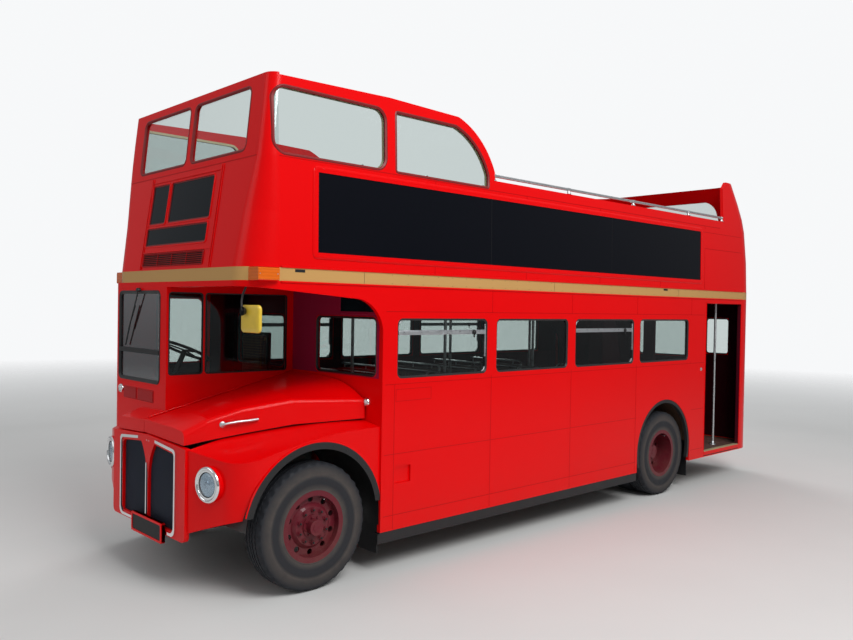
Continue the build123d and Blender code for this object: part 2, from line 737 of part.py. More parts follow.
# Wings
GRILLE_HALF = 660
WING_SIDE_X = 1199
WING_FRONT_Y = -4130
WING_CORNER_Y = -3965
WING_CORNER_R = 270
WING_REAR_FOOT_Z = 625
WING_FOOT_Z = 668
WING_INNER_FOOT_Z = 480
# The wing's top along the bus: y, level at the bonnet, level at the outer crease
WING_TOP = [(-4150, 1112, 985), (-3560, 1225, 1152), (BULKHEAD_Y, 1314, 1228)]
CAB_SEAT_Z = CAB_FLOOR_Z - CAB_FLOOR_THICK


def wing_near():
    """A front wing: a sloping top, a rounded nose and the wheel's round arch."""
    faces = []
    for x, column, foot in ((GRILLE_HALF, 1, WING_INNER_FOOT_Z), (WING_SIDE_X, 2, WING_FOOT_Z)):
        front, middle, rear = [(row[0], row[column]) for row in WING_TOP]
        edges = [
            ThreePointArc(front, middle, rear),
            Line(rear, (rear[0], WING_REAR_FOOT_Z)),
            Line((rear[0], WING_REAR_FOOT_Z), (front[0], foot)),
            Line((front[0], foot), front),
        ]
        faces.append(Plane.YZ.offset(x) * make_face(Curve() + edges))
    wing = loft(faces, ruled=True)
    corner = FilletPolyline(
        (GRILLE_HALF, WING_FRONT_Y),
        (WING_SIDE_X, WING_CORNER_Y),
        (WING_SIDE_X, BULKHEAD_Y),
        radius=WING_CORNER_R,
    )
    rest = Polyline((WING_SIDE_X, BULKHEAD_Y), (GRILLE_HALF, BULKHEAD_Y), (GRILLE_HALF, WING_FRONT_Y))
    wing &= through_z(make_face(corner + rest), 0, 2000)
    x0, x1 = GRILLE_HALF - 10, WING_SIDE_X + 10
    wing -= rod((x0, FRONT_AXLE_Y, WING_ARCH_Z), (x1, FRONT_AXLE_Y, WING_ARCH_Z), WING_ARCH_R)
    wing -= block(x0, x1, FRONT_AXLE_Y - WING_ARCH_R, BULKHEAD_Y, 0, WING_ARCH_Z)
    return max(wing.solids(), key=lambda solid: solid.volume)


def wing_off():
    """The other front wing, cut level inside to carry the cab's floor."""
    wing = other_side(wing_near())
    wing -= block(WALL - BODY_HALF, -GRILLE_HALF, BODY_FRONT_Y + WALL, BULKHEAD_Y, CAB_SEAT_Z, 1500)
    return max(wing.solids(), key=lambda solid: solid.volume)


# Cab
CAB_CORNER_R = 150
CAB_FOOT_Z = 1030
CAB_WALL = 35
WINDSCREEN = (-1050, -220, 1535, 2325)
WINDSCREEN_R = 50
CAB_SIDE_PANES = [(-3930, -3612), (-3594, -2755)]
CAB_SIDE_Z = (1615, 2320)
CAB_BACK_X = CAB_WALL_X - CAB_WALL
CAB_SPLIT_Y = -3740


def cab_plan(inset=0):
    """The cab's own plan, with a tighter front corner than the band above it."""
    return plan(BODY_HALF, BODY_FRONT_Y, CAB_CORNER_R, BODY_REAR_Y, REAR_CORNER_R, inset)


def below_crease():
    """The space below the offside wing's outer crease, where no cab wall reaches."""
    front, middle, rear = [(row[0], row[2]) for row in WING_TOP]
    edges = [
        ThreePointArc(front, middle, rear),
        Line(rear, (rear[0], 0)),
        Line((rear[0], 0), (front[0], 0)),
        Line((front[0], 0), front),
    ]
    return through_x(make_face(Curve() + edges), -1300, -GRILLE_HALF)


def cab_front():
    """The cab's front with its corner and the windscreen's opening."""
    wall = through_z(cab_plan() - cab_plan(WALL), CAB_FOOT_Z, BAND_Z)
    wall &= block(-1300, CAB_WALL_X, -4000, CAB_SPLIT_Y, CAB_FOOT_Z, BAND_Z)
    wall -= through_y(window(*WINDSCREEN, WINDSCREEN_R), -4000, -3900)
    wall -= cab_side_cut(*CAB_SIDE_PANES[0])
    wall -= wing_off() + below_crease()
    return max(wall.solids(), key=lambda solid: solid.volume)


def cab_side_cut(start, end):
    """One opening of the window beside the engine."""
    return through_x(window(start, end, *CAB_SIDE_Z, 30), CAB_BACK_X, CAB_WALL_X)


def cab_side_near():
    """The cab's inner side, beside the engine, with its two-part window."""
    wall = block(CAB_BACK_X, CAB_WALL_X, BODY_FRONT_Y + WALL, BULKHEAD_Y, CAB_SEAT_Z, BAND_Z)
    for start, end in CAB_SIDE_PANES:
        wall -= cab_side_cut(start, end)
    return one(wall + hinge_pin())


def cab_side_off():
    """The cab's outer side, with the driver's doorway."""
    wall = block(-BODY_HALF, WALL - BODY_HALF, CAB_SPLIT_Y, BULKHEAD_Y, CAB_FOOT_Z, BAND_Z)
    wall -= through_x(window(CAB_DOOR_Y + 20, CAB_DOOR_Y + CAB_DOOR_WIDE - 20, CAB_DOOR_Z + 20,
                             CAB_DOOR_TOP_Z - 20, 60), -BODY_HALF, WALL - BODY_HALF)
    wall -= wing_off() + below_crease()
    return max(wall.solids(), key=lambda solid: solid.volume)


def cab_floor():
    """The driver's floor, over the offside wing."""
    floor = through_z(cab_plan(WALL), CAB_SEAT_Z, CAB_FLOOR_Z)
    floor &= block(-2000, CAB_BACK_X, -5000, BULKHEAD_Y, CAB_SEAT_Z, CAB_FLOOR_Z)
    return one(floor - wing_off())


# The driver's door slides back outside the body, hung on a rail
RAIL_HIGH_Z = CAB_DOOR_TOP_Z + 6
DOOR_RAIL_THICK = 8
DOOR_RAIL_HIGH = 30
DOOR_TRAVEL = 580
HANGER_PLAY = 0.5


def door_rails():
    """The top and bottom rails that the driver's door runs on."""
    y0, y1 = CAB_DOOR_Y - 10, CAB_DOOR_Y + CAB_DOOR_WIDE + DOOR_TRAVEL + 10
    outer = -BODY_HALF - DOOR_GAP
    top = block(outer - DOOR_THICK, -BODY_HALF, y0, y1, RAIL_HIGH_Z, RAIL_HIGH_Z + DOOR_RAIL_THICK)
    low_top = CAB_DOOR_Z - 6
    low = block(outer - DOOR_THICK, -BODY_HALF, y0, y1, low_top - DOOR_RAIL_THICK, low_top)
    return [top.solid(), low.solid()]


def cab_door():
    """The sliding door, with its window and the shoes that meet the rails."""
    outer = -BODY_HALF - DOOR_GAP
    door = block(outer - DOOR_THICK, outer, CAB_DOOR_Y, CAB_DOOR_Y + CAB_DOOR_WIDE, CAB_DOOR_Z,
                 CAB_DOOR_TOP_Z)
    door -= through_x(door_window(), outer - DOOR_THICK, outer)
    for y in (CAB_DOOR_Y + 60, CAB_DOOR_Y + CAB_DOOR_WIDE - 100):
        door += block(outer - DOOR_THICK + 4, outer - 4, y, y + 40, CAB_DOOR_TOP_Z,
                      RAIL_HIGH_Z - HANGER_PLAY)
        door += block(outer - DOOR_THICK + 4, outer - 4, y, y + 40, CAB_DOOR_Z - 6 + HANGER_PLAY,
                      CAB_DOOR_Z)
    return one(door)


def door_window():
    """The opening in the driver's door."""
    return window(CAB_DOOR_Y + 70, CAB_DOOR_Y + CAB_DOOR_WIDE - 70, 1640, CAB_DOOR_TOP_Z - 80, 60)


def cab_door_glass():
    """The pane of the driver's door."""
    outer = -BODY_HALF - DOOR_GAP
    return through_x(door_window(), outer - DOOR_THICK + 10, outer - DOOR_THICK + 10 + GLASS)


# Nose: grille panel, mesh, bright surround, fixed block beside the bonnet
PANEL_BACK_Y = NOSE_Y + 40
PANEL_FOOT_Z = 408
PANEL_EDGE_Z = 1124
PANEL_PEAK_Z = 1156
GRILLE_X = 12
GRILLE_BAR_HALF = 15
GRILLE_FOOT_Z = 460
SURROUND_HALF = 508
SURROUND_TOP_Z = 1100
SURROUND_PEAK_Z = 1146
SURROUND_WIDE = 22
SURROUND_PROUD = 14
SURROUND_GAP = 155
STRIP_HALF = 8
STRIP_TOP_Z = 930
MESH_Y = NOSE_Y + 24
MESH_THICK = 10


def grille_opening():
    """One half of the grille, on the nearside of the centre bar."""
    bar, side, foot = GRILLE_BAR_HALF, SURROUND_HALF - 28, GRILLE_FOOT_Z
    edges = [
        Line((bar, foot), (side, foot)),
        Line((side, foot), (side, 1012)),
        ThreePointArc((side, 1012), (side - 14, 1046), (side - 60, 1064)),
        Line((side - 60, 1064), (122, 1092)),
        ThreePointArc((122, 1092), (52, 985), (bar, 820)),
        Line((bar, 820), (bar, foot)),
    ]
    return make_face(Curve() + edges)


def grille_openings():
    """Both halves of the grille, either side of its centre."""
    near = grille_opening()
    return [Pos(GRILLE_X, 0) * near, Pos(GRILLE_X, 0) * mirror(near, about=Plane.YZ)]


def surround_outline(inset):
    """The edge of the bright surround, drawn in by an inset."""
    half, foot, top = SURROUND_HALF - inset, PANEL_FOOT_Z + 16 + inset, SURROUND_TOP_Z - inset
    peak = SURROUND_PEAK_Z - inset
    points = [(-half, foot), (half, foot), (half, top), (0, peak), (-half, top)]
    return Pos(GRILLE_X, 0) * make_face(FilletPolyline(*points, radius=[60, 60, 40, 300, 40], close=True))


def grille_panel():
    """The panel between the wings, with two openings for the grille."""
    half = GRILLE_HALF
    points = [(-half, PANEL_FOOT_Z), (half, PANEL_FOOT_Z), (half, PANEL_EDGE_Z), (0, PANEL_PEAK_Z),
              (-half, PANEL_EDGE_Z)]
    face = make_face(FilletPolyline(*points, radius=[50, 50, 6, 400, 6], close=True))
    panel = through_y(face, NOSE_Y, PANEL_BACK_Y)
    for opening in grille_openings():
        panel -= through_y(opening, NOSE_Y, PANEL_BACK_Y)
    return one(panel)


def grille_mesh():
    """The dark mesh in each half of the grille."""
    halves = [through_y(opening, MESH_Y, MESH_Y + MESH_THICK) for opening in grille_openings()]
    return Compound(children=[half.solid() for half in halves])


def nose_block():
    """The fixed offside part of the nose, in front of the cab."""
    inner = CAB_WALL_X - 6
    front = [(inner, 1160), (inner, 1266), (-545, 1246), (-596, 1200), (-596, 1136)]
    rear = [(inner, 1160), (inner, 1322), (-575, 1306), (-632, 1256), (-632, 1136)]
    faces = [
        Plane.XZ.offset(-WING_FRONT_Y) * outline(front),
        Plane.XZ.offset(-BODY_FRONT_Y) * outline(rear),
    ]
    return one(loft(faces, ruled=True))


# Bonnet: sections along the bus: y, level at the crown, side, level at the shoulder, at the foot
BONNET_EDGE_X = CAB_WALL_X + 5
BONNET_SKIN = 22
BONNET_SECTIONS = [
    (-4132, 1262, 600, 1248, 1142),
    (-3960, 1352, 650, 1338, 1172),
    (-3700, 1430, 722, 1415, 1210),
    (-3300, 1504, 836, 1472, 1261),
    (BULKHEAD_Y - 12, 1590, 1008, 1455, 1281),
]
BONNET_FOOT_RISE = 22
# The bonnet's hinge runs up along the cab's inner side: where it would meet the nose and bulkhead
HINGE_NOSE_Z = 1274
HINGE_REAR_Z = 1618
HINGE_X = CAB_WALL_X + 12
HINGE_PIN_R = 4
HINGE_BARREL_R = 8
HINGE_LIFT = 6
HINGE_BARREL_LONG = 120
HINGE_LUG_LONG = 40
HINGE_PLACES_Y = [-3760, -3320, -2880]


def hinge_point(y):
    """The hinge line's point at a place along the bus."""
    nose_y, rear_y = BONNET_SECTIONS[0][0], BONNET_SECTIONS[-1][0]
    share = (y - nose_y) / (rear_y - nose_y)
    return Vector(HINGE_X, y, HINGE_NOSE_Z + share * (HINGE_REAR_Z - HINGE_NOSE_Z))


def hinge_run(y, back, ahead, radius):
    """A round length on the hinge line, from behind to ahead of a place."""
    along = (hinge_point(0) - hinge_point(-1000)).normalized()
    return rod(tuple(hinge_point(y) + along * back), tuple(hinge_point(y) + along * ahead), radius)


def hinge_pin():
    """The pin and the lugs that hold it to the cab's inner side."""
    reach = HINGE_BARREL_LONG / 2 + 1 + HINGE_LUG_LONG
    first, last = HINGE_PLACES_Y[0], HINGE_PLACES_Y[-1]
    along = (hinge_point(0) - hinge_point(-1000)).normalized()
    pin = rod(tuple(hinge_point(first) - along * reach), tuple(hinge_point(last) + along * reach),
              HINGE_PIN_R)
    for y in HINGE_PLACES_Y:
        for side in (-1, 1):
            centre = hinge_point(y) + along * side * (reach - HINGE_LUG_LONG / 2)
            place = Plane(centre, x_dir=(1, 0, 0), z_dir=along)
            width = HINGE_X - CAB_WALL_X
            pin += place * Pos(-width / 2, 0, 0) * Box(width, HINGE_PIN_R * 1.5, HINGE_LUG_LONG)
    return pin


def bonnet_core(inset):
    """The bonnet as a solid, drawn in by an inset."""
    faces = []
    for y, crown, side, shoulder, foot in BONNET_SECTIONS:
        edge_z = hinge_point(y).Z - HINGE_LIFT - inset
        side_x = side - inset
        round_x = side_x - 45
        low = foot - (10 if inset else 0)
        edge_low = low + BONNET_FOOT_RISE
        top = Line((BONNET_EDGE_X, edge_z), (0.5 * side, crown - inset))
        edges = [
            Line((BONNET_EDGE_X, edge_low), (BONNET_EDGE_X, edge_z)),
            top,
            TangentArc(top @ 1, (round_x, shoulder - inset), tangent=top % 1),
            ThreePointArc((round_x, shoulder - inset), (side_x - 12, shoulder - 16 - inset),
                          (side_x, shoulder - 50 - inset)),
            Line((side_x, shoulder - 50 - inset), (side_x, low)),
            Line((side_x, low), (BONNET_EDGE_X, edge_low)),
        ]
        faces.append(Plane.XZ.offset(-y) * make_face(Curve() + edges))
    return loft(faces, ruled=True)


def bonnet():
    """The opening bonnet: a skin closed at the nose, with the barrels of its hinge."""
    front = BONNET_SECTIONS[0][0]
    hollow = bonnet_core(BONNET_SKIN) - block(-2000, 2000, front, front + BONNET_SKIN, 0, 2000)
    skin = max((bonnet_core(0) - hollow).solids(), key=lambda solid: solid.volume)
    half = HINGE_BARREL_LONG / 2
    for y in HINGE_PLACES_Y:
        skin += hinge_run(y, -half, half, HINGE_BARREL_R)
    for y in HINGE_PLACES_Y:
        skin -= hinge_run(y, -half, half, HINGE_PIN_R + BORE_PLAY)
    return one(skin)


# Lamps, plate and mirror
HEADLAMP_X = 878
HEADLAMP_Z = 886
HEADLAMP_R = 135
LENS_R = 95
LAMP_TURN = 9.6
LAMP_SEAT = 40
NUMBER_PLATE_X = (-200, 350)
NUMBER_PLATE_Z = (345, 503)


def headlamp_place():
    """The centre of the nearside headlamp on the wing's slanted front."""
    share = (HEADLAMP_X - GRILLE_HALF) / (WING_SIDE_X - GRILLE_HALF)
    y = WING_FRONT_Y + share * (WING_CORNER_Y - WING_FRONT_Y)
    return Vector(HEADLAMP_X, y, HEADLAMP_Z), Vector(math.sin(math.radians(LAMP_TURN)),
                                                      -math.cos(math.radians(LAMP_TURN)), 0)


def lamp_disc(radius, near, far):
    """A disc on the headlamp's axis, between two distances from the wing."""
    centre, axis = headlamp_place()
    return rod(tuple(centre + axis * near), tuple(centre + axis * far), radius)


def surround():
    """The bright frame of the grille, open at the middle of its top."""
    frame = through_y(surround_outline(0) - surround_outline(SURROUND_WIDE),
                      NOSE_Y - SURROUND_PROUD, NOSE_Y)
    frame -= block(GRILLE_X - SURROUND_GAP, GRILLE_X + SURROUND_GAP, NOSE_Y - SURROUND_PROUD,
                   NOSE_Y, 1000, 1200)
    return frame


def front_chrome():
    """The bright pieces of the front: grille surround and headlamp rings."""
    strip = block(GRILLE_X - STRIP_HALF, GRILLE_X + STRIP_HALF, NOSE_Y - SURROUND_PROUD, NOSE_Y,
                  PANEL_FOOT_Z + 16 + SURROUND_WIDE, STRIP_TOP_Z)
    bezel = lamp_disc(HEADLAMP_R, -LAMP_SEAT, 26) - lamp_disc(LENS_R, -LAMP_SEAT, 26)
    bezel = max((bezel - wing_near()).solids(), key=lambda solid: solid.volume)
    pieces = [surround().solid(), strip.solid(), bezel, other_side(bezel).solid()]
    return Compound(children=pieces)


def headlamp_lenses():
    """The headlamps' glasses, inside their rings."""
    lens = lamp_disc(LENS_R, -LAMP_SEAT, 18) - wing_near()
    lens = max(lens.solids(), key=lambda solid: solid.volume)
    return Compound(children=[lens, other_side(lens).solid()])


def number_plate():
    """The box of the blank plate, over the grille's foot."""
    box = block(*NUMBER_PLATE_X, -BODY_REAR_Y, NOSE_Y, *NUMBER_PLATE_Z) - surround()
    box -= block(GRILLE_X - STRIP_HALF, GRILLE_X + STRIP_HALF, NOSE_Y - SURROUND_PROUD, NOSE_Y,
                 PANEL_FOOT_Z, NUMBER_PLATE_Z[1] + 10)
    return one(box)


LAMP_Y = (-3900, -3720)


def marker_lamps():
    """The amber lamps at the band's front corners."""
    lamp = block(BODY_HALF - 110, BODY_HALF + 30, *LAMP_Y, BAND_Z, BAND_Z + BAND_HIGH - 4)
    lamp = fillet(lamp.edges().filter_by(Axis.Y), 10) - through_z(lower_plan(), 2000, 3000)
    return Compound(children=[lamp.solid(), other_side(lamp).solid()])


MIRROR_X = 1120
MIRROR_HALF = 127
MIRROR_Y = -3890
MIRROR_THICK = 26
MIRROR_Z = (2018, 2222)
ARM_X = MIRROR_X - 80
ARM_Y = MIRROR_Y + 18
ARM_R = 9


def mirror_near():
    """The nearside mirror on its arm below the canopy."""
    low, high = MIRROR_Z
    case = block(MIRROR_X - MIRROR_HALF, MIRROR_X + MIRROR_HALF, MIRROR_Y, MIRROR_Y + MIRROR_THICK,
                 low, high)
    case = fillet(case.edges().filter_by(Axis.Y), 25)
    arm = rod((ARM_X, ARM_Y, low + 30), (ARM_X, ARM_Y, 2360), ARM_R)
    foot = rod((ARM_X, ARM_Y, 2350), (ARM_X, ARM_Y, BAND_Z), ARM_R + 5)
    return one(case + arm + foot)


# Seats: a bent sheet on two legs, with a cushion and a squab on it
SEAT_BASE_Z = 310
SEAT_SHEET = 16
SEAT_DEPTH = 390
SEAT_BACK_Z = 880
SEAT_LEAN = 72
SEAT_PITCH = 720
CUSHION_HIGH = 104
SQUAB_DEPTH = 68
AISLE_HALF = 290
LOWER_ROWS = 5
LOWER_ROW_Y = -2480
UPPER_ROWS_NEAR = 10
UPPER_ROWS_OFF = 8
UPPER_ROW_Y = -3350
BENCH_Z = ARCH_Z + ARCH_R + WHEEL_BOX_THICK + 2
BENCH_BOARD = 18


def seat_rows():
    """Every row of paired seats: nearer x, further x, y, floor level."""
    rows = []
    lower_x, upper_x = BODY_HALF - WALL - 12, upper_value(2504, 1) - WALL - 24
    for side in (-1, 1):
        for row in range(LOWER_ROWS):
            rows.append((side, AISLE_HALF, lower_x, LOWER_ROW_Y + SEAT_PITCH * row, FLOOR_Z))
        count = UPPER_ROWS_NEAR if side > 0 else UPPER_ROWS_OFF
        for row in range(count):
            rows.append((side, AISLE_HALF, upper_x, UPPER_ROW_Y + SEAT_PITCH * row,
                         BAND_Z + DECK_THICK))
    return rows


def back_line(height):
    """How far back the seat's back lies at a height."""
    rise = SEAT_BACK_Z - SEAT_BASE_Z - SEAT_SHEET
    return SEAT_DEPTH + SEAT_LEAN * (height - SEAT_BASE_Z - SEAT_SHEET) / rise


def seat_frame(side, x0, x1, y, floor):
    """One seat's sheet and its two legs."""
    section = [
        (0, SEAT_BASE_Z), (SEAT_DEPTH + SEAT_SHEET, SEAT_BASE_Z),
        (back_line(SEAT_BACK_Z) + SEAT_SHEET, SEAT_BACK_Z), (back_line(SEAT_BACK_Z), SEAT_BACK_Z),
        (SEAT_DEPTH, SEAT_BASE_Z + SEAT_SHEET), (0, SEAT_BASE_Z + SEAT_SHEET),
    ]
    frame = through_x(outline([(y + a, floor + b) for a, b in section]), x0, x1)
    for x in (x0 + 60, x1 - 100):
        frame += block(x, x + 40, y + 120, y + 280, floor, floor + SEAT_BASE_Z)
    return frame if side > 0 else other_side(frame)


def seat_pads_of(side, x0, x1, y, floor):
    """One seat's cushion and squab."""
    top = SEAT_BASE_Z + SEAT_SHEET
    cushion = block(x0 + 6, x1 - 6, y - 10, y + SEAT_DEPTH - 4, floor + top,
                    floor + top + CUSHION_HIGH)
    low, high = top + CUSHION_HIGH + 6, SEAT_BACK_Z - 30
    section = [(back_line(low), low), (back_line(high), high),
               (back_line(high) - SQUAB_DEPTH * 0.7, high), (back_line(low) - SQUAB_DEPTH, low)]
    squab = through_x(outline([(y + a, floor + b) for a, b in section]), x0 + 6, x1 - 6)
    pads = [cushion, squab]
    return pads if side > 0 else [other_side(pad) for pad in pads]


def bench(side):
    """The long seat over a rear wheel: board and cushion."""
    half = BODY_HALF - WALL
    x0 = WHEEL_BOX_X - BENCH_BOARD
    y0, y1 = ARCH_Y - ARCH_R, ARCH_Y + ARCH_R - 60
    board = block(x0, half - 60, y0, y1, BENCH_Z - 2, BENCH_Z + BENCH_BOARD)
    board += block(x0, WHEEL_BOX_X, y0, y1, FLOOR_Z, BENCH_Z)
    cushion = block(x0, half - 90, y0, y1, BENCH_Z + BENCH_BOARD, BENCH_Z + BENCH_BOARD + 90)
    if side < 0:
        return other_side(board), other_side(cushion)
    return board, cushion


def seat_frames():
    """All the passenger seats' frames, on both decks."""
    frames = [seat_frame(*row).solid() for row in seat_rows()]
    frames += [bench(side)[0].solid() for side in (-1, 1)]
    return Compound(children=frames)


def seat_pads():
    """All the passenger seats' cushions and squabs."""
    pads = [pad.solid() for row in seat_rows() for pad in seat_pads_of(*row)]
    pads += [bench(side)[1].solid() for side in (-1, 1)]
    return Compound(children=pads)


# Driver's place
DRIVER_X = -640
DRIVER_Y = -3140
WHEEL_CENTRE = (-660, -3500, 1790)
STEER_R = 235
STEER_RIM_R = 14
COLUMN_FOOT = (-660, -3760, CAB_FLOOR_Z)


def cab_fittings():
    """The steering wheel on its column, the dash behind the windscreen and the seat's frame."""
    centre, foot = Vector(*WHEEL_CENTRE), Vector(*COLUMN_FOOT)
    place = Plane(centre, z_dir=(centre - foot))
    wheel = place * Torus(STEER_R, STEER_RIM_R)
    wheel += rod(tuple(foot), tuple(centre), 24)
    wheel -= block(-1200, 0, -4000, -3000, 0, CAB_FLOOR_Z)
    for angle in (30, 150, 270):
        wheel += place * Rot(0, 0, angle) * Pos(STEER_R / 2, 0, 0) * Box(STEER_R, 24, 12)
    dash = block(-1040, CAB_BACK_X, BODY_FRONT_Y + WALL, BODY_FRONT_Y + WALL + 120, 1420, 1500)
    seat = block(DRIVER_X - 220, DRIVER_X + 220, DRIVER_Y - 20, DRIVER_Y + 400, CAB_FLOOR_Z + 240,
                 CAB_FLOOR_Z + 260)
    seat += block(DRIVER_X - 140, DRIVER_X + 140, DRIVER_Y + 60, DRIVER_Y + 320, CAB_FLOOR_Z,
                  CAB_FLOOR_Z + 240)
    seat += block(DRIVER_X - 220, DRIVER_X + 220, DRIVER_Y + 400, DRIVER_Y + 418,
                  CAB_FLOOR_Z + 240, CAB_FLOOR_Z + 760)
    return Compound(children=[wheel.solid(), dash.solid(), seat.solid()])


def driver_seat_pads():
    """The driver's cushion and back."""
    cushion = block(DRIVER_X - 215, DRIVER_X + 215, DRIVER_Y - 30, DRIVER_Y + 330,
                    CAB_FLOOR_Z + 260, CAB_FLOOR_Z + 350)
    back = block(DRIVER_X - 215, DRIVER_X + 215, DRIVER_Y + 330, DRIVER_Y + 400,
                 CAB_FLOOR_Z + 265, CAB_FLOOR_Z + 770)
    return Compound(children=[cushion.solid(), back.solid()])


# Rails and poles
RAIL_TUBE_R = 15
DECK_RAIL_Z = 3475
POSTS_Y = [-161, 1060, 2309]
POLES = [(-320, -1800), (320, -1080), (-320, -360), (320, 360), (-320, 1080), (320, 2440)]
POLE_R = 16
PLATFORM_POLES = [(1000, 3435), (1150, 2830)]


def handrails():
    """The tubes along both upper sides and the poles of the saloon and the platform."""
    x = upper_value(SIDE_TOP_Z, 1) - WALL / 2
    rail = rod((x, SCREEN_END_Y, DECK_RAIL_Z), (x, REAR_RISE_Y, DECK_RAIL_Z), RAIL_TUBE_R)
    for y in POSTS_Y:
        rail += rod((x, y, SIDE_TOP_Z), (x, y, DECK_RAIL_Z), 10)
    pieces = [rail.solid(), other_side(rail).solid()]
    for pole_x, pole_y in POLES:
        pieces.append(rod((pole_x, pole_y, FLOOR_Z), (pole_x, pole_y, BAND_Z), POLE_R).solid())
    for pole_x, pole_y in PLATFORM_POLES:
        pieces.append(rod((pole_x, pole_y, PLATFORM_Z), (pole_x, pole_y, BAND_Z), POLE_R).solid())
    return Compound(children=pieces)


# Black trims: arch edges, sills and mud flaps
TRIM_PROUD = 12
TRIM_INNER_R = 592
TRIM_OUTER_R = 646
SILL_Z = (255, 337)
FLAP_THICK = 10


def black_trims():
    """The wing arch's edge, the sill strip and the flaps behind the wheels."""
    start = (WING_SIDE_X, FRONT_AXLE_Y, WING_ARCH_Z)
    end = (WING_SIDE_X + TRIM_PROUD, FRONT_AXLE_Y, WING_ARCH_Z)
    edge = rod(start, end, TRIM_OUTER_R) - rod(start, end, TRIM_INNER_R)
    edge -= block(1100, 1300, -5000, FRONT_AXLE_Y, 0, WING_FOOT_Z)
    edge -= block(1100, 1300, FRONT_AXLE_Y, 0, 0, WING_REAR_FOOT_Z)
    edge &= block(1100, 1300, WING_FRONT_Y, BULKHEAD_Y, 0, 2000)
    sill = block(BODY_HALF - 70, BODY_HALF - 8, BULKHEAD_Y - 20, ARCH_Y - ARCH_R, *SILL_Z)
    sill += block(BODY_HALF - WALL, BODY_HALF - 8, BULKHEAD_Y, ARCH_Y - ARCH_R, SILL_Z[1],
                  SKIRT_Z)
    front_flap = block(930, 1175, BULKHEAD_Y, BULKHEAD_Y + FLAP_THICK, 170, RAIL_TOP)
    rear_flap = block(690, 1170, ARCH_Y + ARCH_R + 20, ARCH_Y + ARCH_R + 20 + FLAP_THICK, 150,
                      RAIL_TOP)
    pieces = []
    for piece in (edge, sill, front_flap, rear_flap):
        pieces += [piece.solid(), other_side(piece).solid()]
    return Compound(children=pieces)


def fuel_tank():
    """The tank below the floor on the offside."""
    tank = block(-1120, -560, -500, 620, 270, BEARER_Z)
    tank = fillet(tank.edges().filter_by(Axis.Y), 50)
    return one(tank)


def window_glass():
    """The fixed panes of the saloon, the rear wall, the cab and the upper deck."""
    inner, outer = BODY_HALF - GLASS_INSET - GLASS, BODY_HALF - GLASS_INSET
    panes = []
    for start, end in lower_windows():
        face = window(start, end, WINDOW_Z, WINDOW_Z + WINDOW_HIGH, WINDOW_R)
        pane = through_x(face, inner, outer)
        panes += [pane.solid(), other_side(pane).solid()]
    middle = BULKHEAD_Y + WALL / 2
    for x0, x1 in BULKHEAD_WINDOWS:
        face = window(x0, x1, *BULKHEAD_WINDOW_Z, WINDOW_R)
        panes.append(through_y(face, middle - GLASS / 2, middle + GLASS / 2).solid())
    for x0, x1, z0, z1 in (REAR_WINDOW, REAR_CORNER_WINDOW):
        face = window(x0, x1, z0, z1, WINDOW_R)
        skin = through_z(lower_plan(GLASS_INSET) - lower_plan(GLASS_INSET + GLASS), z0, z1)
        panes += (skin & through_y(face, REAR_CORNER_Y, BODY_REAR_Y)).solids()
    skin = through_z(cab_plan(GLASS_INSET) - cab_plan(GLASS_INSET + GLASS), 1500, 2400)
    panes += (skin & through_y(window(*WINDSCREEN, WINDSCREEN_R), -4000, -3900)).solids()
    for start, end in CAB_SIDE_PANES:
        pane = through_x(window(start, end, *CAB_SIDE_Z, 30), CAB_BACK_X + 14, CAB_BACK_X + 20)
        panes.append(pane.solid())
    return Compound(children=panes + upper_panes())


def build():
    """Every node of the bus, by name."""
    wall = upper_wall()
    nodes = {
        "chassis_frame": chassis_frame(),
        "engine_block": one(engine_block()),
        "fuel_tank": fuel_tank(),
        "front_axle": front_axle(),
        "rear_axle": rear_axle(),
        "lower_floor": lower_floor(),
        "platform": platform(),
        "lower_side_near": lower_side(doorway=True),
        "lower_side_off": other_side(lower_side(doorway=False)),
        "lower_rear": lower_rear(),
        "front_bulkhead": front_bulkhead(),
        "rear_bulkhead": rear_bulkhead(),
        "staircase": staircase(),
        "band": band(),
        "upper_floor": upper_floor(),
        "upper_side_near": upper_side_near(wall),
        "upper_side_off": other_side(upper_side_near(wall)),
        "upper_front": upper_front(wall),
        "upper_rear": upper_rear(wall),
        "ad_boards": ad_boards(),
        "blind_glass": blind_glass(),
        "canopy_valance": canopy_valance(),
        "wing_near": wing_near(),
        "wing_off": wing_off(),
        "cab_front": cab_front(),
        "cab_side_near": cab_side_near(),
        "cab_side_off": cab_side_off(),
        "cab_floor": cab_floor(),
        "cab_fittings": cab_fittings(),
        "driver_seat_pads": driver_seat_pads(),
        "door_rails": Compound(children=door_rails()),
        "grille_panel": grille_panel(),
        "grille_mesh": grille_mesh(),
        "nose_block": nose_block(),
        "front_chrome": front_chrome(),
        "headlamp_lenses": headlamp_lenses(),
        "number_plate": number_plate(),
        "marker_lamps": marker_lamps(),
        "mirror_near": mirror_near(),
        "seat_frames": seat_frames(),
        "seat_pads": seat_pads(),
        "handrails": handrails(),
        "black_trims": black_trims(),
        "window_glass": window_glass(),
        "bonnet": bonnet(),
        "cab_door": cab_door(),
        "cab_door_glass": cab_door_glass(),
    }
    paired = {
        "knuckle": knuckle_left(),
        "front_wheel": front_wheel_left(),
        "front_tyre": tyre(OUTER_MIDDLE, FRONT_AXLE_Y),
        "rear_wheels": rear_wheels_left(),
        "rear_tyres": rear_tyres_left(),
    }
    for name, shape in paired.items():
        nodes[name + "_near"] = shape
        nodes[name + "_off"] = other_side(shape)
    return nodes


os.makedirs("parts", exist_ok=True)
for node_name, node_shape in build().items():
    export_step(node_shape, f"parts/{node_name}.step")
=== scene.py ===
"""Looks of an open top double decker bus with a half cab and an open rear platform.

Everything is in metres. The bus faces -Y, its platform side is +X, and it stands on z = 0.
"""

import json
from math import asin, atan2, cos, dist, pi, radians, sin

